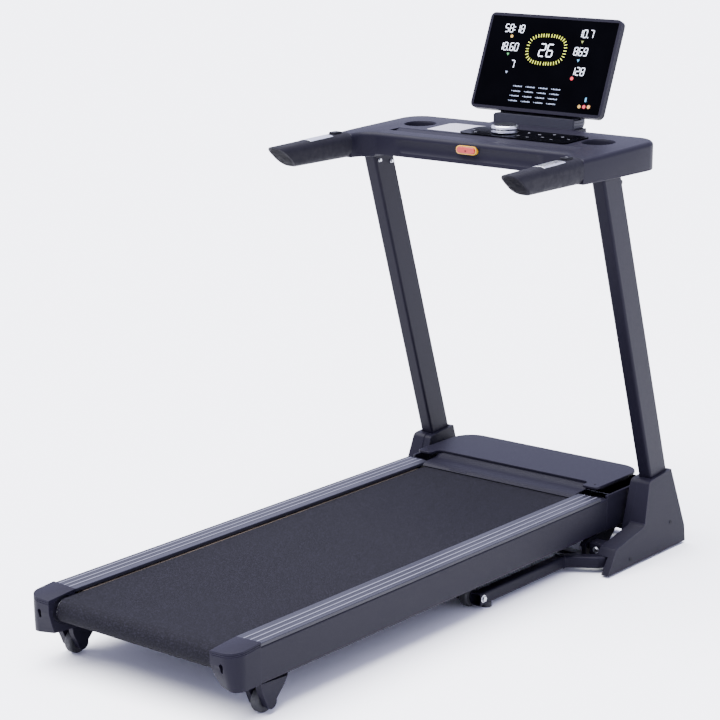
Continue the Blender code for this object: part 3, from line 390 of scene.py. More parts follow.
def turned(profile, centre, axis="Z", steps=48):
    """Spin a (height, radius) profile about an axis through a centre."""
    bm = bmesh.new()
    points = [bm.verts.new((radius, 0.0, height)) for height, radius in profile]
    edges = [bm.edges.new(pair) for pair in zip(points, points[1:])]
    bmesh.ops.spin(bm, geom=points + edges, cent=(0, 0, 0), axis=(0, 0, 1), angle=2 * math.pi,
                   steps=steps, use_merge=True)
    bmesh.ops.remove_doubles(bm, verts=bm.verts[:], dist=1e-6)
    turn = {"X": Matrix.Rotation(math.pi / 2, 4, "Y"), "Y": Matrix.Rotation(-math.pi / 2, 4, "X"),
            "Z": Matrix.Identity(4)}[axis]
    bmesh.ops.transform(bm, matrix=Matrix.Translation(centre) @ turn, verts=bm.verts[:])
    return bm


def hub(half, centre):
    """Ring inside a wheel, turned from one half of its section."""
    section = [(-along, radius) for along, radius in half] + half[::-1]
    return turned(section + section[:1], centre, "X", 40)


def washer(half, bore, rim, centre, steps):
    """Flat ring that lies across x."""
    return turned([(-half, bore), (half, bore), (half, rim), (-half, rim), (-half, bore)], centre, "X",
                  steps)


def rod(half, radius, centre, steps):
    """Round bar along x."""
    return turned([(-half, 0.0), (-half, radius), (half, radius), (half, 0.0)], centre, "X", steps)


def loft(rings):
    """Bridge a stack of closed rings of points and close both ends."""
    bm = bmesh.new()
    loops = []
    for ring in rings:
        verts = [bm.verts.new(point) for point in ring]
        loops.append((verts, [bm.edges.new((a, b)) for a, b in zip(verts, verts[1:] + verts[:1])]))
    for (_, first), (_, second) in zip(loops, loops[1:]):
        bmesh.ops.bridge_loops(bm, edges=first + second)
    for verts, _ in (loops[0], loops[-1]):
        bm.faces.new(verts)
    return bm


def as_object(name, bm):
    """Turn a bmesh into an object, with its faces outwards."""
    bmesh.ops.recalc_face_normals(bm, faces=bm.faces[:])
    mesh = bpy.data.meshes.new(name)
    bm.to_mesh(mesh)
    bm.free()
    obj = bpy.data.objects.new(name, mesh)
    bpy.context.scene.collection.objects.link(obj)
    return obj


def carve(obj, tool_bm, operation="DIFFERENCE"):
    """Cut or join a shape by an exact Boolean, applied at once."""
    tool = as_object("tool", tool_bm)
    mod = obj.modifiers.new("carve", "BOOLEAN")
    mod.operation, mod.solver, mod.object = operation, "EXACT", tool
    bpy.context.view_layer.update()
    result = bpy.data.meshes.new_from_object(obj.evaluated_get(bpy.context.evaluated_depsgraph_get()))
    obj.modifiers.remove(mod)
    obj.data = result
    result.name = obj.name
    bpy.data.objects.remove(tool)
    return obj


def fit(obj, material, body, slot, stands_for=(), soften=0.0, segments=3, angle=32.0):
    """Finish a piece: soft edges, smooth shading, its material, its body and the node it stands for."""
    mesh = obj.data
    mesh.shade_smooth()
    mesh.set_sharp_from_angle(angle=math.radians(angle))
    if soften:
        mod = obj.modifiers.new("soft_edges", "BEVEL")
        mod.width, mod.segments, mod.limit_method = soften, segments, "ANGLE"
        mod.angle_limit, mod.harden_normals = math.radians(angle), True
    mesh.materials.clear()
    mesh.materials.append(material)
    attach(obj, body)
    if stands_for:
        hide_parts(*stands_for)
    return obj


def piece(name, bm, *finish):
    """Finish a bmesh as a piece in one go; the rest of the call is that of fit."""
    return fit(as_object(name, bm), *finish)


def middle(node):
    """Centre of a node's box."""
    low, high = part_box(node)
    return (low + high) / 2


# ---------------------------------------------------------------- console
SHELL_LOW, SHELL_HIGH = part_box("console_upper_shell")
CONSOLE_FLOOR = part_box("console_lower_shell")[0].z
SEAM_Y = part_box("grip_right")[1].y + 0.0003
GRIP_X = middle("grip_right").x
FACE_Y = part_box("safety_key")[1].y + 0.0006
FAR_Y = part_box("screen_stand")[0].y + 0.0035
TOP_RISE = 0.033                    # slope of the console's top face
RIM_ROUND, UNDER_ROUND = 0.011, 0.004
STAND_BUMP = 0.131                  # half width of the bulge behind the screen's foot
SCOOP_R = 0.0281                    # hollow along the console's face
SCOOP_Z = 1.0195
TOP_Z = SHELL_HIGH.z - TOP_RISE * (SHELL_HIGH.y - SEAM_Y)
CUP = Vector((0.2676, 0.548, 1.004))    # middle of a bottle well's floor
CUP_R = 0.040
SHELL_GAP = 0.0004                  # open seam between the two shells


def top_at(y):
    """Height of the console's top face."""
    return TOP_Z + TOP_RISE * (y - SEAM_Y)


def console_outline():
    """Plan of the console: a cross bar between two arms that run back to the grips."""
    inner, corner = GRIP_X - 0.026, 0.062
    right = [(0.0, FACE_Y), (0.225, FACE_Y)] + arc(0.270, FACE_Y - 0.047, 0.047, 85, 25, 6)
    right += [(inner, SEAM_Y + 0.012), (inner, SEAM_Y), (GRIP_X + 0.027, SEAM_Y),
              (SHELL_HIGH.x - 0.002, 0.400), (SHELL_HIGH.x, 0.540)]
    right += arc(SHELL_HIGH.x - corner, FAR_Y - corner, corner, 0, 90, 10) + [(0.0, FAR_Y)]
    return right + [(-x, y) for x, y in reversed(right[1:-1])]


def slope_top(bm, base):
    """Tip everything above a height to the slope of the console's top."""
    for vert in bm.verts:
        if vert.co.z > base:
            vert.co.z += TOP_RISE * (vert.co.y - SEAM_Y)


def console_body():
    """The whole moulding, softened and carved, before it is split into its two shells."""
    bm = prism(console_outline(), CONSOLE_FLOOR, TOP_Z, "Z")
    slope_top(bm, TOP_Z - 0.001)
    rims = [e for e in bm.edges if abs(e.verts[0].co.z - e.verts[1].co.z) < 0.02]
    upper = [e for e in rims if e.verts[0].co.z > 1.03]
    bmesh.ops.bevel(bm, geom=upper, offset=RIM_ROUND, segments=5, profile=0.5, affect="EDGES", material=-1)
    lower = [e for e in bm.edges if all(abs(v.co.z - CONSOLE_FLOOR) < 1e-5 for v in e.verts)]
    bmesh.ops.bevel(bm, geom=lower, offset=UNDER_ROUND, segments=2, profile=0.5, affect="EDGES", material=-1)
    body = as_object("console", bm)
    bump = block(-STAND_BUMP, STAND_BUMP, FAR_Y - 0.02, SHELL_HIGH.y, CONSOLE_FLOOR, TOP_Z)
    slope_top(bump, TOP_Z - 0.001)
    carve(body, bump, "UNION")
    scoop = turned([(-0.238, 0.0), (-0.238, 0.016), (-0.200, SCOOP_R), (0.200, SCOOP_R), (0.238, 0.016),
                    (0.238, 0.0)], (0.0, FACE_Y - 0.0226, SCOOP_Z), "X", 64)
    carve(body, scoop)
    carve(body, prism([(-0.290, 0.98), (0.290, 0.98), (0.280, 0.9935), (-0.280, 0.9935)], 0.30, 0.72, "Y"))
    near, far = 0.430, 0.472
    step = [(near, top_at(near) + 0.02), (near, top_at(near) - 0.004), (near + 0.004, top_at(near) - 0.0088),
            (near + 0.010, top_at(near) - 0.0085), (far, top_at(far) - 0.0006), (far, top_at(far) + 0.02)]
    carve(body, prism(step, -0.276, 0.276, "X"))
    for _, side in SIDES:
        x = side * CUP.x
        rim = top_at(CUP.y)
        well = turned([(CUP.z, 0.0), (CUP.z, CUP_R - 0.004), (CUP.z + 0.004, CUP_R), (rim - 0.004, CUP_R),
                       (rim - 0.0012, CUP_R + 0.0012), (rim + 0.004, CUP_R + 0.004),
                       (rim + 0.02, CUP_R + 0.004), (rim + 0.02, 0.0)], (x, CUP.y, 0.0))
        carve(body, well)
    return body


def build_console(plastic):
    """Two shells that meet at a fine seam half way up."""
    body = console_body()
    split = CONSOLE_FLOOR + 0.0048
    over, under = 1.2, 0.9              # clear above and below the whole console
    halves = (("console_top_moulding", split, over, "console_upper_shell"),
              ("console_underside", under, split - SHELL_GAP, "console_lower_shell"))
    for name, low, high, node in halves:
        half = bpy.data.objects.new(name, body.data.copy())
        bpy.context.scene.collection.objects.link(half)
        carve(half, block(-0.5, 0.5, 0.2, 0.9, low, high), "INTERSECT")
        fit(half, plastic, "base", "dark_plastic", [node], 0.0012, 2, 40)
    bpy.data.objects.remove(body)


GRIP_ROUND = 0.022
GRIP_DROOP = 0.0333                 # how far a grip falls per metre towards the runner


def grip_ring(side, y, squeeze, tip, push=0.0):
    """Section of a grip; at the tip it lies in the slanted end plane."""
    low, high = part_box("grip_right")
    width, height, radius = 0.056, high.z - low.z, GRIP_ROUND
    a, b = width / 2 - radius, height / 2 - radius
    mid = (low.z + high.z) / 2
    near, far = low.y, 0.126            # top and bottom of the slanted end
    points = []
    for cx, cz, start in ((a, b, 0), (-a, b, 90), (-a, -b, 180), (a, -b, 270)):
        points += arc(cx, cz, radius, start, start + 90, 8)
    ring = []
    for u, v in points:
        rise = (v * squeeze + height / 2) / height
        slant = far + (near - far) * rise
        ring.append((side * GRIP_X + u * squeeze, (slant if tip else 0.0) + y + push,
                     mid + v * squeeze - (0.009 * rise if tip else 0.0)))
    return ring


def build_grips(foam, black, chrome, mark):
    """Sleeves with end caps, pulse plates over their tops, and the marks on the thumb keys."""
    for word, side in SIDES:
        end = [grip_ring(side, SEAM_Y - 0.0003, 1.0, False), grip_ring(side, 0.003, 1.0, True),
               grip_ring(side, 0.0008, 0.975, True), grip_ring(side, 0.0, 0.93, True),
               grip_ring(side, 0.0, 0.80, True), grip_ring(side, 0.0, 0.78, True, 0.004)]
        sleeve = as_object("grip_sleeve_" + word, loft(end))
        key_low, key_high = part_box("thumb_key_" + word)
        clear = 0.0005
        carve(sleeve, block(key_low.x - clear, key_high.x + clear, key_low.y - clear, key_high.y + clear,
                            key_low.z - 0.003, 1.06))
        fit(sleeve, foam, "base", "black_rubber", ["grip_" + word])
        cap = loft([grip_ring(side, 0.0, 0.775, True, 0.0035), grip_ring(side, 0.0, 0.775, True, 0.0028),
                    grip_ring(side, 0.0, 0.74, True, 0.0022)])
        piece("grip_end_cap_" + word, cap, black, "base", "black_plastic")
        for name, y0, y1, reach, lift, material in (("pulse_holder_", 0.176, 0.278, 40, 0.0003, black),
                                                    ("pulse_plate_", 0.184, 0.270, 28, 0.0009, chrome)):
            strip = as_object(name + word, pulse_strip(side, y0, y1, reach, lift))
            slot_name = "bare_steel" if material is chrome else "black_plastic"
            fit(strip, material, "base", slot_name, (), 0.0004, 2)
        symbol = as_object("thumb_key_mark_" + word, key_symbol(key_low, key_high))
        fit(symbol, mark, "thumb_key_" + word, "knob_metal")


def pulse_strip(side, y0, y1, reach, lift):
    """Plate that wraps over the top of a grip, following its droop."""
    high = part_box("grip_right")[1].z
    in_x = GRIP_ROUND - 0.016           # where the flat of the grip's top ends

    def line(radius):
        cz = high - GRIP_ROUND
        right = [(in_x + radius * math.sin(math.radians(a)), cz + radius * math.cos(math.radians(a)))
                 for a in range(reach, -1, -4)]
        return right + [(-x, z) for x, z in reversed(right)]

    outer, inner = line(GRIP_ROUND + lift), line(GRIP_ROUND - 0.0015)
    outline = [(side * GRIP_X + x, z) for x, z in outer + list(reversed(inner))]
    bm = prism(outline, y0, y1, "Y")
    for vert in bm.verts:
        vert.co.z -= GRIP_DROOP * (SEAM_Y - vert.co.y)
    return bm


def key_symbol(low, high):
    """Small raised plus on a thumb key."""
    centre = (low + high) / 2
    arm, stroke, sunk = 0.0035, 0.0007, high.z - 0.0004
    bm = block(centre.x - arm, centre.x + arm, centre.y - stroke, centre.y + stroke, sunk, high.z + 0.0002)
    add_block(bm, centre.x - stroke, centre.x + stroke, centre.y - arm, centre.y + arm, sunk,
              high.z + 0.0003)
    return bm


def build_panel(silver, gloss, white, black):
    """Silver speaker plate and the gloss key panel that overlaps it."""
    low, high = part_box("control_panel")
    thick, shift = 0.0030, 0.0003
    mark_long, mark_wide = 0.004, 0.0010

    def plate(outline, bottom, top):
        bm = prism(outline, bottom, top, "Z")
        slope_top(bm, 0.0)
        return bm

    base = TOP_Z + shift
    left, right, near, far = -0.196, -0.070, low.y + 0.006, high.y - 0.003      # the silver plate
    silver_plan = [(left, near), (right, near), (right, far), (left + 0.012, far), (left, far - 0.012)]
    piece("speaker_plate", plate(silver_plan, base, base + thick - 0.001), silver, "base", "knob_metal", (),
          0.0008, 2)
    start, back = -0.104, high.y - 0.006                        # the key panel
    large, small = 0.028, 0.012
    gloss_plan = arc(start + large, low.y + large, large, 270, 180, 8)
    gloss_plan += arc(start + large, back - large, large, 180, 90, 8)
    gloss_plan += arc(high.x - small, back - small, small, 90, 0, 5)
    gloss_plan += arc(high.x - small, low.y + small, small, 0, -90, 5)
    piece("key_panel", plate(gloss_plan, base, base + thick), gloss, "base", "panel_black",
          ["control_panel"], 0.0009, 3)
    # flat black discs flush with the unpierced silver plate: painted shade of the speaker holes
    holes = bmesh.new()
    for row in range(8):
        for column in range(10):
            x, y = left + 0.012 + column * 0.0078, low.y + 0.022 + row * 0.0105
            made = bmesh.ops.create_cone(holes, cap_ends=True, segments=8, radius1=0.0012, radius2=0.0012,
                                         depth=0.0008)
            bmesh.ops.translate(holes, vec=(x, y, top_at(y) + thick - 0.0011), verts=made["verts"])
    piece("speaker_holes", holes, black, "base", "black_plastic")
    marks = bmesh.new()
    places = [(-0.085, 0.528), (-0.060, 0.500), (0.060, 0.512), (0.062, 0.556), (0.092, 0.504),
              (0.098, 0.548), (0.126, 0.520), (0.130, 0.566), (0.160, 0.506), (0.166, 0.548), (0.196, 0.528)]
    for i, (x, y) in enumerate(places):
        z = top_at(y) + shift + thick
        add_block(marks, x - mark_long, x + mark_long, y - mark_wide, y + mark_wide, z - 0.0002, z + 0.0002)
        if i % 2:
            add_block(marks, x - mark_wide, x + mark_wide, y - mark_long, y + mark_long, z - 0.0002,
                      z + 0.0003)
    piece("key_symbols", marks, white, "base", "knob_metal")


def build_knob(chrome, black):
    """Speed knob: flared chrome base, satin ring and a dark dimpled top."""
    low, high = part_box("control_knob")
    x, y, z = middle("control_knob").x, middle("control_knob").y, low.z
    radius, height = (high.x - low.x) / 2, high.z - low.z
    dimple = 0.0013
    ring = turned([(0.0, 0.0), (0.0, radius), (0.0014, radius), (0.0026, radius - 0.0035),
                   (0.0042, radius - 0.0038), (0.0052, radius - 0.0012), (0.0062, radius - 0.0004),
                   (0.0145, radius - 0.0004), (0.0163, radius - 0.0022), (0.0170, radius - 0.0045),
                   (0.0160, radius - 0.0055), (0.0160, 0.0)], (x, y, z), "Z", 96)
    piece("knob_ring", ring, chrome, "control_knob", "knob_metal", ["control_knob"], 0, 0, 50)
    top = turned([(0.0160, 0.0), (0.0160, radius - 0.0060), (height - 0.0014, radius - 0.0066),
                  (height - 0.0004, radius - 0.0085), (height - 0.0010, radius - 0.013),
                  (height - 0.0014, 0.0)], (x, y, z + 0.0001), "Z", 96)
    for ring_radius, count in ((0.0225, 26), (0.0165, 18)):
        for i in range(count):
            a = 2 * math.pi * i / count
            made = bmesh.ops.create_icosphere(top, subdivisions=1, radius=dimple)["verts"]
            bmesh.ops.translate(top, vec=(x + ring_radius * math.cos(a), y + ring_radius * math.sin(a),
                                          z + height - dimple), verts=made)
    piece("knob_top", top, black, "control_knob", "black_plastic")


def capsule(cx, cz, half, radius, steps=12):
    """Outline with straight sides and half-round ends."""
    return arc(cx + half, cz, radius, -90, 90, steps) + arc(cx - half, cz, radius, 90, 270, steps)


def build_safety_key(red, yellow, black):
    """Pull-off key in its rimmed socket on the console's face."""
    low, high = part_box("safety_key")
    centre = middle("safety_key")
    seat = high.y + 0.0072
    straight = 0.0195                   # half length of the key's straight sides
    rim = prism(capsule(centre.x, centre.z, straight + 0.0005, 0.0103), high.y - 0.0035, seat, "Y")
    rim = as_object("safety_key_socket", rim)
    carve(rim, prism(capsule(centre.x, centre.z, straight, 0.0079), 0.30, 0.45, "Y"))
    fit(rim, yellow, "base", "key_red", (), 0.0012, 3)
    tab = prism(capsule(centre.x, centre.z, straight, 0.0075), low.y, seat - 0.001, "Y")
    piece("safety_key_tab", tab, red, "safety_key", "key_red", ["safety_key"], 0.0018, 4)
    mark = turned([(0.0, 0.0), (0.0, 0.0022), (0.0006, 0.0018), (0.0006, 0.0)],
                  (centre.x, low.y - 0.0004, centre.z - 0.0015), "Y", 20)
    piece("safety_key_mark", mark, black, "safety_key", "black_plastic")


# ---------------------------------------------------------------- screen
SCREEN_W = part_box("screen_shell")[1].x * 2
SCREEN_H = 0.2526
SCREEN_LEAN = math.radians(21.8)
SCREEN_PLACE = Matrix.Translation((0.0, 0.6645, 1.0910)) @ Matrix.Rotation(-SCREEN_LEAN, 4, "X")
SLANT = 0.06                          # italic lean of the digits
GLOW_T = 0.0004                       # half thickness of the lit marks
DIGIT_H = 0.0195
SEGMENTS = {"0": "abcdef", "1": "bc", "2": "abged", "5": "afgcd", "6": "afgedc", "7": "abc", "8": "abcdefg",
            "9": "abcdfg"}


def on_screen(u, v):
    """A place on the glass from fractions across and down."""
    return (u - 0.5) * SCREEN_W, (1.0 - v) * SCREEN_H


def glow_bar(bm, x0, x1, z0, z1, origin_z):
    """Small lit bar with the lean of the digits."""
    made = add_block(bm, x0, x1, -GLOW_T, GLOW_T, z0, z1)
    for vert in made:
        vert.co.x += SLANT * (vert.co.z - origin_z)
    return made


def digit(bm, letter, x, z, height):
    """One seven-segment digit with its centre at (x, z)."""
    w, h, t = height * 0.25, height / 2, height * 0.040
    cut = t * 1.25
    bars = {"a": (-w + cut, w - cut, h - t, h + t), "g": (-w + cut, w - cut, -t, t),
            "d": (-w + cut, w - cut, -h - t, -h + t),
            "f": (-w - t, -w + t, cut, h - cut), "b": (w - t, w + t, cut, h - cut),
            "e": (-w - t, -w + t, -h + cut, -cut), "c": (w - t, w + t, -h + cut, -cut)}
    for name in SEGMENTS[letter]:
        x0, x1, z0, z1 = bars[name]
        glow_bar(bm, x + x0, x + x1, z + z0, z + z1, z)


def number(bm, text, u, v, height):
    """A row of digits, with dots and colons between them."""
    x, z = on_screen(u, v)
    pitch, narrow = height * 0.72, height * 0.26
    widths = [narrow if c in ":." else pitch for c in text]
    x -= sum(widths) / 2
    for letter, width in zip(text, widths):
        centre = x + width / 2
        dot = height * 0.055
        if letter == ".":
            glow_bar(bm, centre - dot, centre + dot, z - height / 2 - dot, z - height / 2 + dot, z)
        elif letter == ":":
            for offset in (-0.2, 0.2):
                glow_bar(bm, centre - dot, centre + dot, z + height * offset - dot,
                         z + height * offset + dot, z)
        else:
            digit(bm, letter, centre, z, height)
        x += width


def oblong(t, half_w, half_h, power=2.8):
    """A point on a rounded oblong at an angle."""
    c, s = math.cos(t), math.sin(t)
    return (half_w * math.copysign(abs(c) ** (2 / power), c),
            half_h * math.copysign(abs(s) ** (2 / power), s))


def dashes(u, v):
    """Ring of dashes round the main number."""
    bm = bmesh.new()
    cx, cz = on_screen(u, v)
    count, samples = 40, 720
    half_w, half_h = 0.0565, 0.0365
    path = [oblong(2 * math.pi * i / samples, half_w, half_h) for i in range(samples + 1)]
    lengths = [0.0]
    for a, b in zip(path, path[1:]):
        lengths.append(lengths[-1] + math.dist(a, b))
    k = 0
    for i in range(count):
        while lengths[k] < lengths[-1] * i / count:
            k += 1
        px, pz = path[k]
        qx, qz = path[(k + 1) % samples]
        angle = math.atan2(qz - pz, qx - px)
        made = add_block(bm, -0.0008, 0.0008, -GLOW_T, GLOW_T, -0.0042, 0.0042)
        turn = Matrix.Rotation(-angle, 4, "Y")
        bmesh.ops.transform(bm, matrix=Matrix.Translation((cx + px, 0.0, cz + pz)) @ turn, verts=made)
    return bm


def spot(bm, u, v, radius, sides=16, turn=0.0):
    """Small round or three-cornered sign."""
    x, z = on_screen(u, v)
    made = bmesh.ops.create_cone(bm, cap_ends=True, segments=sides, radius1=radius, radius2=radius,
                                 depth=2 * GLOW_T)["verts"]
    lie = Matrix.Rotation(math.pi / 2, 4, "X") @ Matrix.Rotation(turn, 4, "Z")
    bmesh.ops.transform(bm, matrix=Matrix.Translation((x, 0.0, z)) @ lie, verts=made)


def show(name, bm, material):
    """Lay lit marks on the leaning glass."""
    bmesh.ops.transform(bm, matrix=SCREEN_PLACE, verts=bm.verts[:])
    piece(name, bm, material, "screen", "screen_black")


def build_stand(knurl):
    """Patterned front of the screen's foot, and the boot under the screen."""
    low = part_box("screen_stand")[0]
    half, foot, head = 0.1225, 1.0565, 1.0820
    front = [(low.y - 0.0012, foot), (low.y + 0.0006, foot), (low.y + 0.0006, head), (low.y - 0.0004, head)]
    piece("stand_front", prism(front, -half + 0.004, half - 0.004, "X"), knurl, "base", "dark_plastic", (),
          0.0005, 2)
    boot = [(low.y + 0.0010, 1.0792), (0.6945, 1.0792), (0.6930, 1.0816), (low.y + 0.0030, 1.0824)]
    piece("stand_boot", prism(boot, -half + 0.006, half - 0.006, "X"), knurl, "base", "dark_plastic", (),
          0.0006, 2)


def build_display(lights):
    """Numbers, ring, programme rows and small signs on the screen."""
    digits = bmesh.new()
    for text, u, v, height in (("58:18", 0.209, 0.158, DIGIT_H), ("18.60", 0.193, 0.348, DIGIT_H),
                               ("7", 0.254, 0.526, DIGIT_H), ("10.7", 0.755, 0.163, DIGIT_H),
                               ("869", 0.745, 0.347, DIGIT_H), ("128", 0.756, 0.547, DIGIT_H),
                               ("26", 0.485, 0.360, 0.0320)):
        number(digits, text, u, v, height)
    show("screen_digits", digits, lights["white"])
    show("screen_dash_ring", dashes(0.484, 0.352), lights["yellow"])
    labels = bmesh.new()
    for row in range(4):
        for column in range(4):
            x, z = on_screen(0.325 + 0.098 * column + 0.004 * (3 - row), 0.747 + 0.050 * row)
            glow_bar(labels, x - 0.0155, x - 0.0135, z - 0.0008, z + 0.0008, z)
            for k in range(5):
                start = x - 0.0105 + k * 0.0046
                glow_bar(labels, start, start + 0.0032, z - 0.0014, z + 0.0014 - 0.0008 * ((k + row) % 2), z)
    show("screen_programme_rows", labels, lights["pale"])
    signs = {
        "amber": [(0.199, 0.240, 0.0040, 16), (0.827, 0.897, 0.0048, 6)],
        "green": [(0.200, 0.424, 0.0044, 3)], "olive": [(0.741, 0.246, 0.0042, 3)],
        "pale": [(0.222, 0.610, 0.0040, 3)], "blue": [(0.741, 0.436, 0.0044, 3)],
        "red": [(0.725, 0.623, 0.0046, 16), (0.862, 0.895, 0.0050, 6)],
        "orange": [(0.896, 0.892, 0.0048, 6)],
    }
    for colour, places in signs.items():
        bm = bmesh.new()
        for u, v, radius, sides in places:
            spot(bm, u, v, radius, sides, 0.0 if sides > 3 else math.pi)
        if colour == "blue":
            x, z = on_screen(0.864, 0.824)
            add_block(bm, x - 0.0022, x + 0.0022, -GLOW_T, GLOW_T, z - 0.0055, z + 0.0055)
        show("screen_signs_" + colour, bm, lights[colour])


# ---------------------------------------------------------------- hood over the motor bay
def build_hood(plastic, dark):
    """Lid, scooped rear lip, skirt and front wall round the motor bay."""
    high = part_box("motor_hood")[1]
    half, rear, front, top = high.x, 0.561, high.y, high.z
    ledge, notch = 0.597, abs(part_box("foot_rail_left")[1].x) + 0.0005
    hollow_r, lip_r, heel_r, nose_r = 0.016, 0.008, 0.010, 0.060
    under = top - 0.0064                # underside of the lid
    lid = [(0.0, ledge), (notch - hollow_r, ledge)]
    lid += arc(notch - hollow_r, ledge - hollow_r, hollow_r, 90, 0, 6) + [(notch, rear + lip_r)]
    lid += arc(notch + lip_r, rear + lip_r, lip_r, 180, 270, 4) + [(half - heel_r, rear)]
    lid += arc(half - heel_r, rear + heel_r, heel_r, -90, 0, 4)
    lid += arc(half - nose_r, front - nose_r, nose_r, 0, 90, 14) + [(0.0, front)]
    plan = lid + [(-x, y) for x, y in reversed(lid[1:-1])]
    plan = [p for i, p in enumerate(plan) if i == 0 or math.dist(p, plan[i - 1]) > 1e-5]
    piece("motor_hood_lid", prism(plan, top - 0.0062, top, "Z"), plastic, "deck", "dark_plastic",
          ["motor_hood"], 0.0016, 3)
    scoop = [(0.606, under), (0.598, under)]
    scoop += [(0.598 - 0.028 * t, under - 0.0105 * math.sin(t * math.pi / 2))
              for t in (0.15, 0.3, 0.5, 0.7, 0.85, 1.0)]
    scoop += [(0.556, 0.1698), (0.542, 0.1688), (0.532, 0.1668), (0.5255, 0.1632), (0.5230, 0.1606)]
    scoop += [(0.5260, 0.1603), (0.5330, 0.1636), (0.5430, 0.1660), (0.5700, 0.1672), (0.6060, 0.1680)]
    reach = notch - 0.0008
    piece("motor_hood_scoop", prism(scoop, -reach, reach, "X"), plastic, "deck", "dark_plastic", (), 0.0007,
          2, 28)
    tab = [(0.5256, 0.1645), (0.548, 0.1702), (0.548, 0.1686), (0.5256, 0.1630)]
    piece("motor_hood_catch", prism(tab, -0.150, -0.095, "X"), plastic, "deck", "dark_plastic", (), 0.0005,
          2)
    inset, corner, back = 0.014, 0.046, 0.606

    def skirt_plan(wall):
        """Plan of the skirt, drawn in by a wall thickness."""
        plan = [(half - inset - wall, back + wall)]
        plan += arc(half - inset - corner, front - inset - corner, corner - wall, 0, 90, 10)
        return plan + [(-x, y) for x, y in reversed(plan)]

    wall = as_object("motor_hood_skirt", prism(skirt_plan(0.0), 0.1690, under, "Z"))
    carve(wall, prism(skirt_plan(0.003), 0.16, 0.20, "Z"))
    fit(wall, dark, "deck", "black_plastic")
    plate_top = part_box("front_plate_right")[1].z
    cover = block(-0.2955, 0.2955, 0.7768, 0.7790, 0.0806, plate_top - 0.0004)
    piece("motor_bay_front", cover, dark, "deck", "black_plastic", (), 0.0008, 2)
    for word, side in SIDES:
        screw = turned([(0.0, 0.0), (0.0, 0.0030), (0.0010, 0.0026), (0.0013, 0.0014), (0.0008, 0.0)],
                       (side * (half - 0.020), rear + 0.004 + 0.020, top - 0.0002), "Z", 24)
        piece("hood_screw_" + word, screw, dark, "deck", "black_plastic")


# ---------------------------------------------------------------- rear end of the deck
def build_rear_caps(plastic, black):
    """End caps of the side beams, with a lipped top, a keyhole and the seal round the roller's end."""
    for word, side in SIDES:
        node = "rear_cap_" + word
        low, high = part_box(node)
        inner, outer = sorted((abs(low.x), abs(high.x)))
        rear, front = low.y, high.y
        corner = 0.036

        def plan(inset):
            radius = corner - inset
            points = [(inner + inset, front), (inner + inset, rear + inset)]
            points += arc(outer - inset - radius, rear + inset + radius, radius, -90, 0, 14)
            return points + [(outer - inset, front)]

        def top(x, y):
            return high.z - 0.0030 + 0.0400 * (x - inner) + 0.080 * (y - front)

        groove = 0.0013
        levels = [(0.0, -0.0100), (groove, -0.0102), (groove, -0.0085), (0.0, -0.0083), (0.0, -0.0060),
                  (groove, -0.0058), (groove, -0.0044), (0.0, -0.0042), (0.0, -0.0010), (0.0003, -0.0003),
                  (0.0011, 0.0)]
        rings = []
        for drawn_in, height in ((1.0, low.z + 0.004), (0.45, 0.104), (0.0, 0.132)):
            ring = []
            for x, y in plan(0.0):
                lean = drawn_in * max(0.0, 1.0 - (x - inner) / (outer - inner)) * (y < front - 0.03)
                ring.append((side * (x + 0.009 * lean), y + 0.024 * lean, height))
            rings.append(ring)
        rings += [[(side * x, y, top(x, y) + drop) for x, y in plan(inset)] for inset, drop in levels]
        cap = as_object("deck_end_cap_" + word, loft(rings))
        roller = middle("rear_roller")
        for radius, depth in ((0.0310, 0.0035), (0.0086, 0.022)):
            mid = side * (inner + depth / 2 - 0.01)
            reach = depth / 2 + 0.01
            carve(cap, rod(reach, radius, (mid, roller.y, roller.z), 64))
        keyhole_x = 0.2655
        keyhole = arc(keyhole_x, 0.1315, 0.0058, -30, 210, 10) + arc(keyhole_x, 0.1195, 0.0040, 200, 340, 6)
        carve(cap, prism([(side * x, z) for x, z in keyhole], rear - 0.01, rear + 0.014, "Y"))
        fit(cap, plastic, "deck", "dark_plastic", [node], 0, 0, 28)
        seal = washer(0.0008, 0.0265, 0.0295, (side * (inner + 0.0028), roller.y, roller.z), 64)
        piece("roller_seal_" + word, seal, black, "deck", "black_plastic")


def build_wheel_forks(plastic, black):
    """Covers over the rear wheels, with their axles and hubs."""
    outer_x, inner_x = (0.2862, 0.3025), (0.2500, 0.2632)      # the two cheeks
    for word, side in SIDES:
        wheel = middle("rear_wheel_" + word)
        y, z = wheel.y, wheel.z
        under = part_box("deck_beam_right")[0].z - 0.0003
        cheek = [(-0.7375, under), (-0.652, under), (-0.664, 0.056)] + arc(y, z, 0.0155, 12, -168, 12)
        cheek += [(-0.7345, 0.058)]
        outer = as_object("wheel_cover_" + word, prism(cheek, *span(side, *outer_x), "X"))
        inner = prism(cheek, *span(side, *inner_x), "X")
        carve(outer, inner, "UNION")
        carve(outer, block(*span(side, inner_x[0], outer_x[1]), -0.7370, -0.655, 0.0690, under), "UNION")
        fit(outer, plastic, "deck", "dark_plastic", ["wheel_fork_" + word], 0.0022, 3)
        piece("wheel_axle_" + word, rod(0.0205, 0.0038, (side * 0.2748, y, z), 24), black, "deck",
              "black_plastic")
        boss = hub([(0.0102, 0.0044), (0.0108, 0.0120), (0.0100, 0.0150)], wheel)
        piece("wheel_hub_" + word, boss, black, "rear_wheel_" + word, "black_plastic")


# ---------------------------------------------------------------- foot shrouds
UPRIGHT_LEAN = -0.3237      # how far the uprights come towards the runner per metre of height
SHROUD_DRAFT = 0.090        # inward slope of the shrouds' outer faces


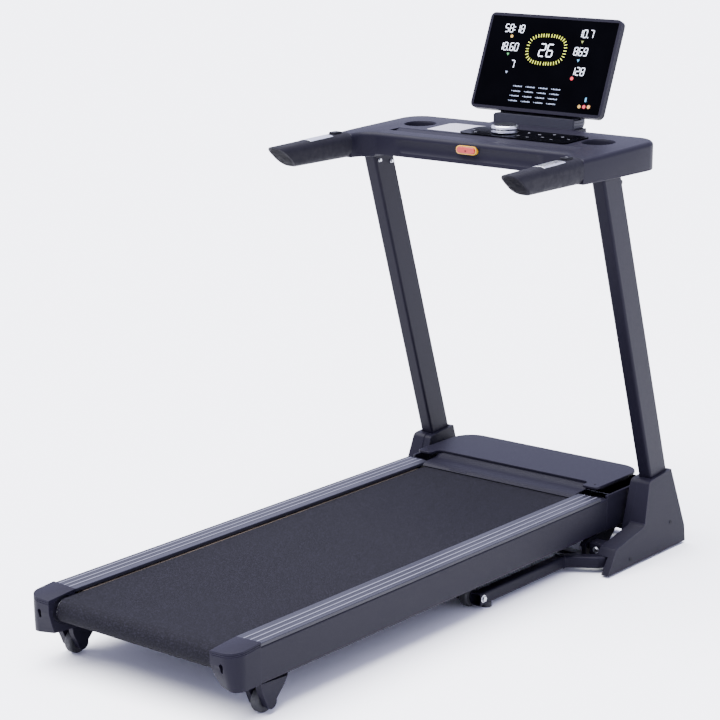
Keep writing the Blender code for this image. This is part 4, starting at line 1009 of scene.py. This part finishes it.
def build_foot_shrouds(plastic):
    """Moulded boots that the uprights drop into, with a raised column and a low toe."""
    socket_x = (0.3236, 0.3614)         # the upright's socket
    for word, side in SIDES:
        low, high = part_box("foot_cover_" + word)
        outer = max(abs(low.x), abs(high.x))
        front, top = high.y, high.z
        outline = [(front, low.z), (front, 0.048), (0.7705, top), (0.676, 0.1962)]
        outline += arc(0.6765, 0.1810, 0.0152, 92, 158, 5) + [(0.634, 0.094)]
        outline += arc(0.618, 0.100, 0.015, -22, -68, 4) + [(0.502, 0.0630)]
        outline += arc(0.504, 0.052, 0.011, 100, 150, 4) + [(0.455, low.z)]
        bm = prism(outline, *span(side, 0.3358, outer), "X")
        for vert in bm.verts:
            if abs(abs(vert.co.x) - outer) < 1e-5:
                vert.co.x -= side * SHROUD_DRAFT * vert.co.z
        boot = as_object("foot_shroud_" + word, bm)
        column = [(front - 0.0012, low.z), (front - 0.0012, 0.0475), (0.7695, top - 0.0012), (0.677, 0.1950)]
        column += arc(0.6775, 0.1800, 0.0148, 94, 158, 5)
        column += [(0.6352, 0.092), (0.6260, 0.066), (0.6180, low.z)]
        carve(boot, prism(column, *span(side, 0.3145, 0.3400), "X"), "UNION")
        near, far, deep = *socket_x, 0.0788
        well = loft([[(side * x, 0.7491 + UPRIGHT_LEAN * z + y, z) for x, y in
                      ((near, 0.0), (far, 0.0), (far, deep), (near, deep))] for z in (0.030, 0.300)])
        carve(boot, well)
        carve(boot, block(*span(side, 0.3310, 0.3662), 0.40, 0.79, -0.02, 0.0445))
        carve(boot, block(*span(side, 0.300, 0.350), 0.770, 0.81, -0.02, 0.0435))
        fit(boot, plastic, "base", "dark_plastic", ["foot_cover_" + word], 0.0030, 3, 24)


# ---------------------------------------------------------------- base and fasteners
def bolt(name, centre, axis, facing, radius, material, body, hexagon=True):
    """Fastener head with a washer flange; hexagon or round, seen along its axis."""
    flange = turned([(0.0, 0.0), (0.0, radius * 1.25), (0.0008, radius * 1.22), (0.0012, radius),
                     (0.0012, 0.0)], (0, 0, 0), "Z", 32)
    made = bmesh.ops.create_cone(flange, cap_ends=True, segments=6 if hexagon else 24, radius1=radius,
                                 radius2=radius * 0.90, depth=0.0040)
    bmesh.ops.translate(flange, vec=(0, 0, 0.0030), verts=made["verts"])
    turn = {"X": Matrix.Rotation(facing * math.pi / 2, 4, "Y"),
            "Y": Matrix.Rotation(-facing * math.pi / 2, 4, "X"), "Z": Matrix.Identity(4)}[axis]
    bmesh.ops.transform(flange, matrix=Matrix.Translation(centre) @ turn, verts=flange.verts[:])
    piece(name, flange, material, body, "bare_steel")


def build_fasteners(steel, black, coat):
    """Screws, dark plugs whose black also paints the shade of the holes they sit in, eyes, weld beads and
    hubs round the base and the uprights.
    """
    rear_face, deep = 0.7495, 0.078
    upright_x, half_w = 0.3425, 0.0185
    for word, side in SIDES:
        inner_x = side * (upright_x - half_w)
        for i, (along, z) in enumerate(((0.016, 0.966), (0.062, 0.958))):
            place = (inner_x, rear_face + UPRIGHT_LEAN * z + along, z)
            bolt("upright_screw_%d_%s" % (i + 1, word), place, "X", -side, 0.0040, steel, "base", False)
        z = 0.968
        eye_y = rear_face + UPRIGHT_LEAN * z + deep
        eye = washer(0.0012, 0.0035, 0.0062, (side * (upright_x + 0.010), eye_y + 0.005, z), 32)
        piece("cable_eye_" + word, eye, black, "base", "black_plastic")
        for i, (y, z) in enumerate(((0.755, 0.070), (0.559, 0.023))):
            face = side * (0.388 - SHROUD_DRAFT * z)
            # black plugs with a sunk middle; their black also paints the shade of the holes in the covers
            plug = turned([(-0.0006, 0.0), (-0.0006, 0.0050), (0.0005, 0.0050), (0.0005, 0.0036),
                           (-0.0002, 0.0030), (-0.0002, 0.0)], (face, y, z), "X", 28)
            piece("cover_plug_%d_%s" % (i + 1, word), plug, black, "base", "black_plastic")
        axle = middle("transport_wheel_" + word)
        bolt("axle_bolt_" + word, (side * 0.2802, axle.y, axle.z - 0.001), "X", side, 0.0075, steel, "base")
        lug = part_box("lift_lug_" + word)[0]
        bolt("lug_bolt_" + word, (side * 0.3135, lug.y - 0.0001, 0.045), "Y", -1, 0.0070, steel, "base")
        piece("arm_weld_" + word, collar(side, 0.424), coat, "base", "painted_steel")
        boss = hub([(0.0112, 0.0058), (0.0116, 0.0110), (0.0108, 0.0150)], axle)
        piece("transport_wheel_hub_" + word, boss, black, "transport_wheel_" + word, "black_plastic")


def collar(side, y):
    """Weld bead round the base arm where the swept end meets the straight one."""
    x, z, half = side * 0.265, 0.028, 0.0151
    rings = []
    for offset, swell in ((-0.0026, 0.0), (-0.0014, 0.0010), (0.0, 0.0014), (0.0014, 0.0010), (0.0026, 0.0)):
        r, reach = 0.006, half + swell
        points = []
        for cx, cz, start in ((1, 1, 0), (-1, 1, 90), (-1, -1, 180), (1, -1, 270)):
            points += arc(x + cx * (reach - r), z + cz * (reach - r), r, start, start + 90, 4)
        rings.append([(px, y + offset + 0.0004 * math.sin(9 * k), pz) for k, (px, pz) in enumerate(points)])
    return loft(rings)


# ---------------------------------------------------------------- studio
SKY_COLOUR, SKY_STRENGTH = (0.68, 0.69, 1.0, 1.0), 2.2
SUN_POWER, SUN_SPREAD = 16.0, math.radians(70)
CAMERA_PLACE = (3.174, -4.010, 1.819)
CAMERA_TURN, CAMERA_RISE = math.radians(38.59), math.radians(13.63)
CAMERA_LENS = 112.645


def studio():
    """Pale floor, a wide soft light overhead, a faint fill, and a camera behind the runner's right side."""
    floor = bmesh.new()
    bmesh.ops.create_grid(floor, x_segments=1, y_segments=1, size=30.0)
    mesh = bpy.data.meshes.new("floor")
    floor.to_mesh(mesh)
    floor.free()
    stage = bpy.data.objects.new("floor", mesh)
    bpy.context.scene.collection.objects.link(stage)
    mesh.materials.append(floor_paper())

    world = bpy.data.worlds.new("studio")
    world.use_nodes = True
    room = world.node_tree.nodes["Background"]
    room.inputs["Color"].default_value = SKY_COLOUR
    room.inputs["Strength"].default_value = SKY_STRENGTH
    bpy.context.scene.world = world
    sky = bpy.data.lights.new("overhead_silk", "SUN")
    sky.energy = SUN_POWER
    sky.angle = SUN_SPREAD
    lamp = bpy.data.objects.new("overhead_silk", sky)
    lamp.rotation_euler = (math.radians(10), math.radians(-12), 0.0)
    bpy.context.scene.collection.objects.link(lamp)
    add_softbox("fill_light", (3.8, -3.2, 2.8), (0.0, 0.0, 0.5), 2.6, 12.0)

    lens = bpy.data.cameras.new("camera")
    lens.lens = CAMERA_LENS
    lens.sensor_width = 36.0
    camera = bpy.data.objects.new("camera", lens)
    bpy.context.scene.collection.objects.link(camera)
    back = Vector((math.sin(CAMERA_TURN) * math.cos(CAMERA_RISE),
                   -math.cos(CAMERA_TURN) * math.cos(CAMERA_RISE), math.sin(CAMERA_RISE)))
    camera.location = CAMERA_PLACE
    camera.rotation_euler = (-back).to_track_quat("-Z", "Y").to_euler()
    bpy.context.scene.camera = camera


def floor_paper():
    """Matt white studio paper."""
    f = Finish("floor_paper", (0.84, 0.84, 0.85), 0.8)
    f.rough(f.noise(4.0), 0.7, 0.85)
    f.gloss(0.1)
    return f.material


def add_softbox(name, place, target, size, power):
    """Square area light turned to a target."""
    light = bpy.data.lights.new(name, "AREA")
    light.size = size
    light.energy = power
    lamp = bpy.data.objects.new(name, light)
    lamp.location = place
    lamp.rotation_euler = (Vector(target) - Vector(place)).to_track_quat("-Z", "Y").to_euler()
    bpy.context.scene.collection.objects.link(lamp)


# ---------------------------------------------------------------- assembly
FINISHES = dress_cad_nodes()
PLASTIC, BLACK, STEEL = FINISHES["dark_plastic"], FINISHES["black_plastic"], FINISHES["bare_steel"]
CHROME = machined_steel("satin_chrome_trim", (0.72, 0.73, 0.77), 0.24)
WHITE = painted_mark()
build_console(PLASTIC)
build_grips(grip_foam(), BLACK, CHROME, WHITE)
build_panel(brushed_silver(), FINISHES["panel_black"], WHITE, BLACK)
build_knob(CHROME, BLACK)
build_safety_key(FINISHES["key_red"], rim_yellow(), BLACK)
build_display(display_lights())
build_hood(PLASTIC, BLACK)
build_rear_caps(PLASTIC, BLACK)
build_wheel_forks(PLASTIC, BLACK)
build_foot_shrouds(PLASTIC)
build_stand(diamond_knurl("stand_knurl"))
build_fasteners(STEEL, BLACK, FINISHES["painted_steel"])
studio()
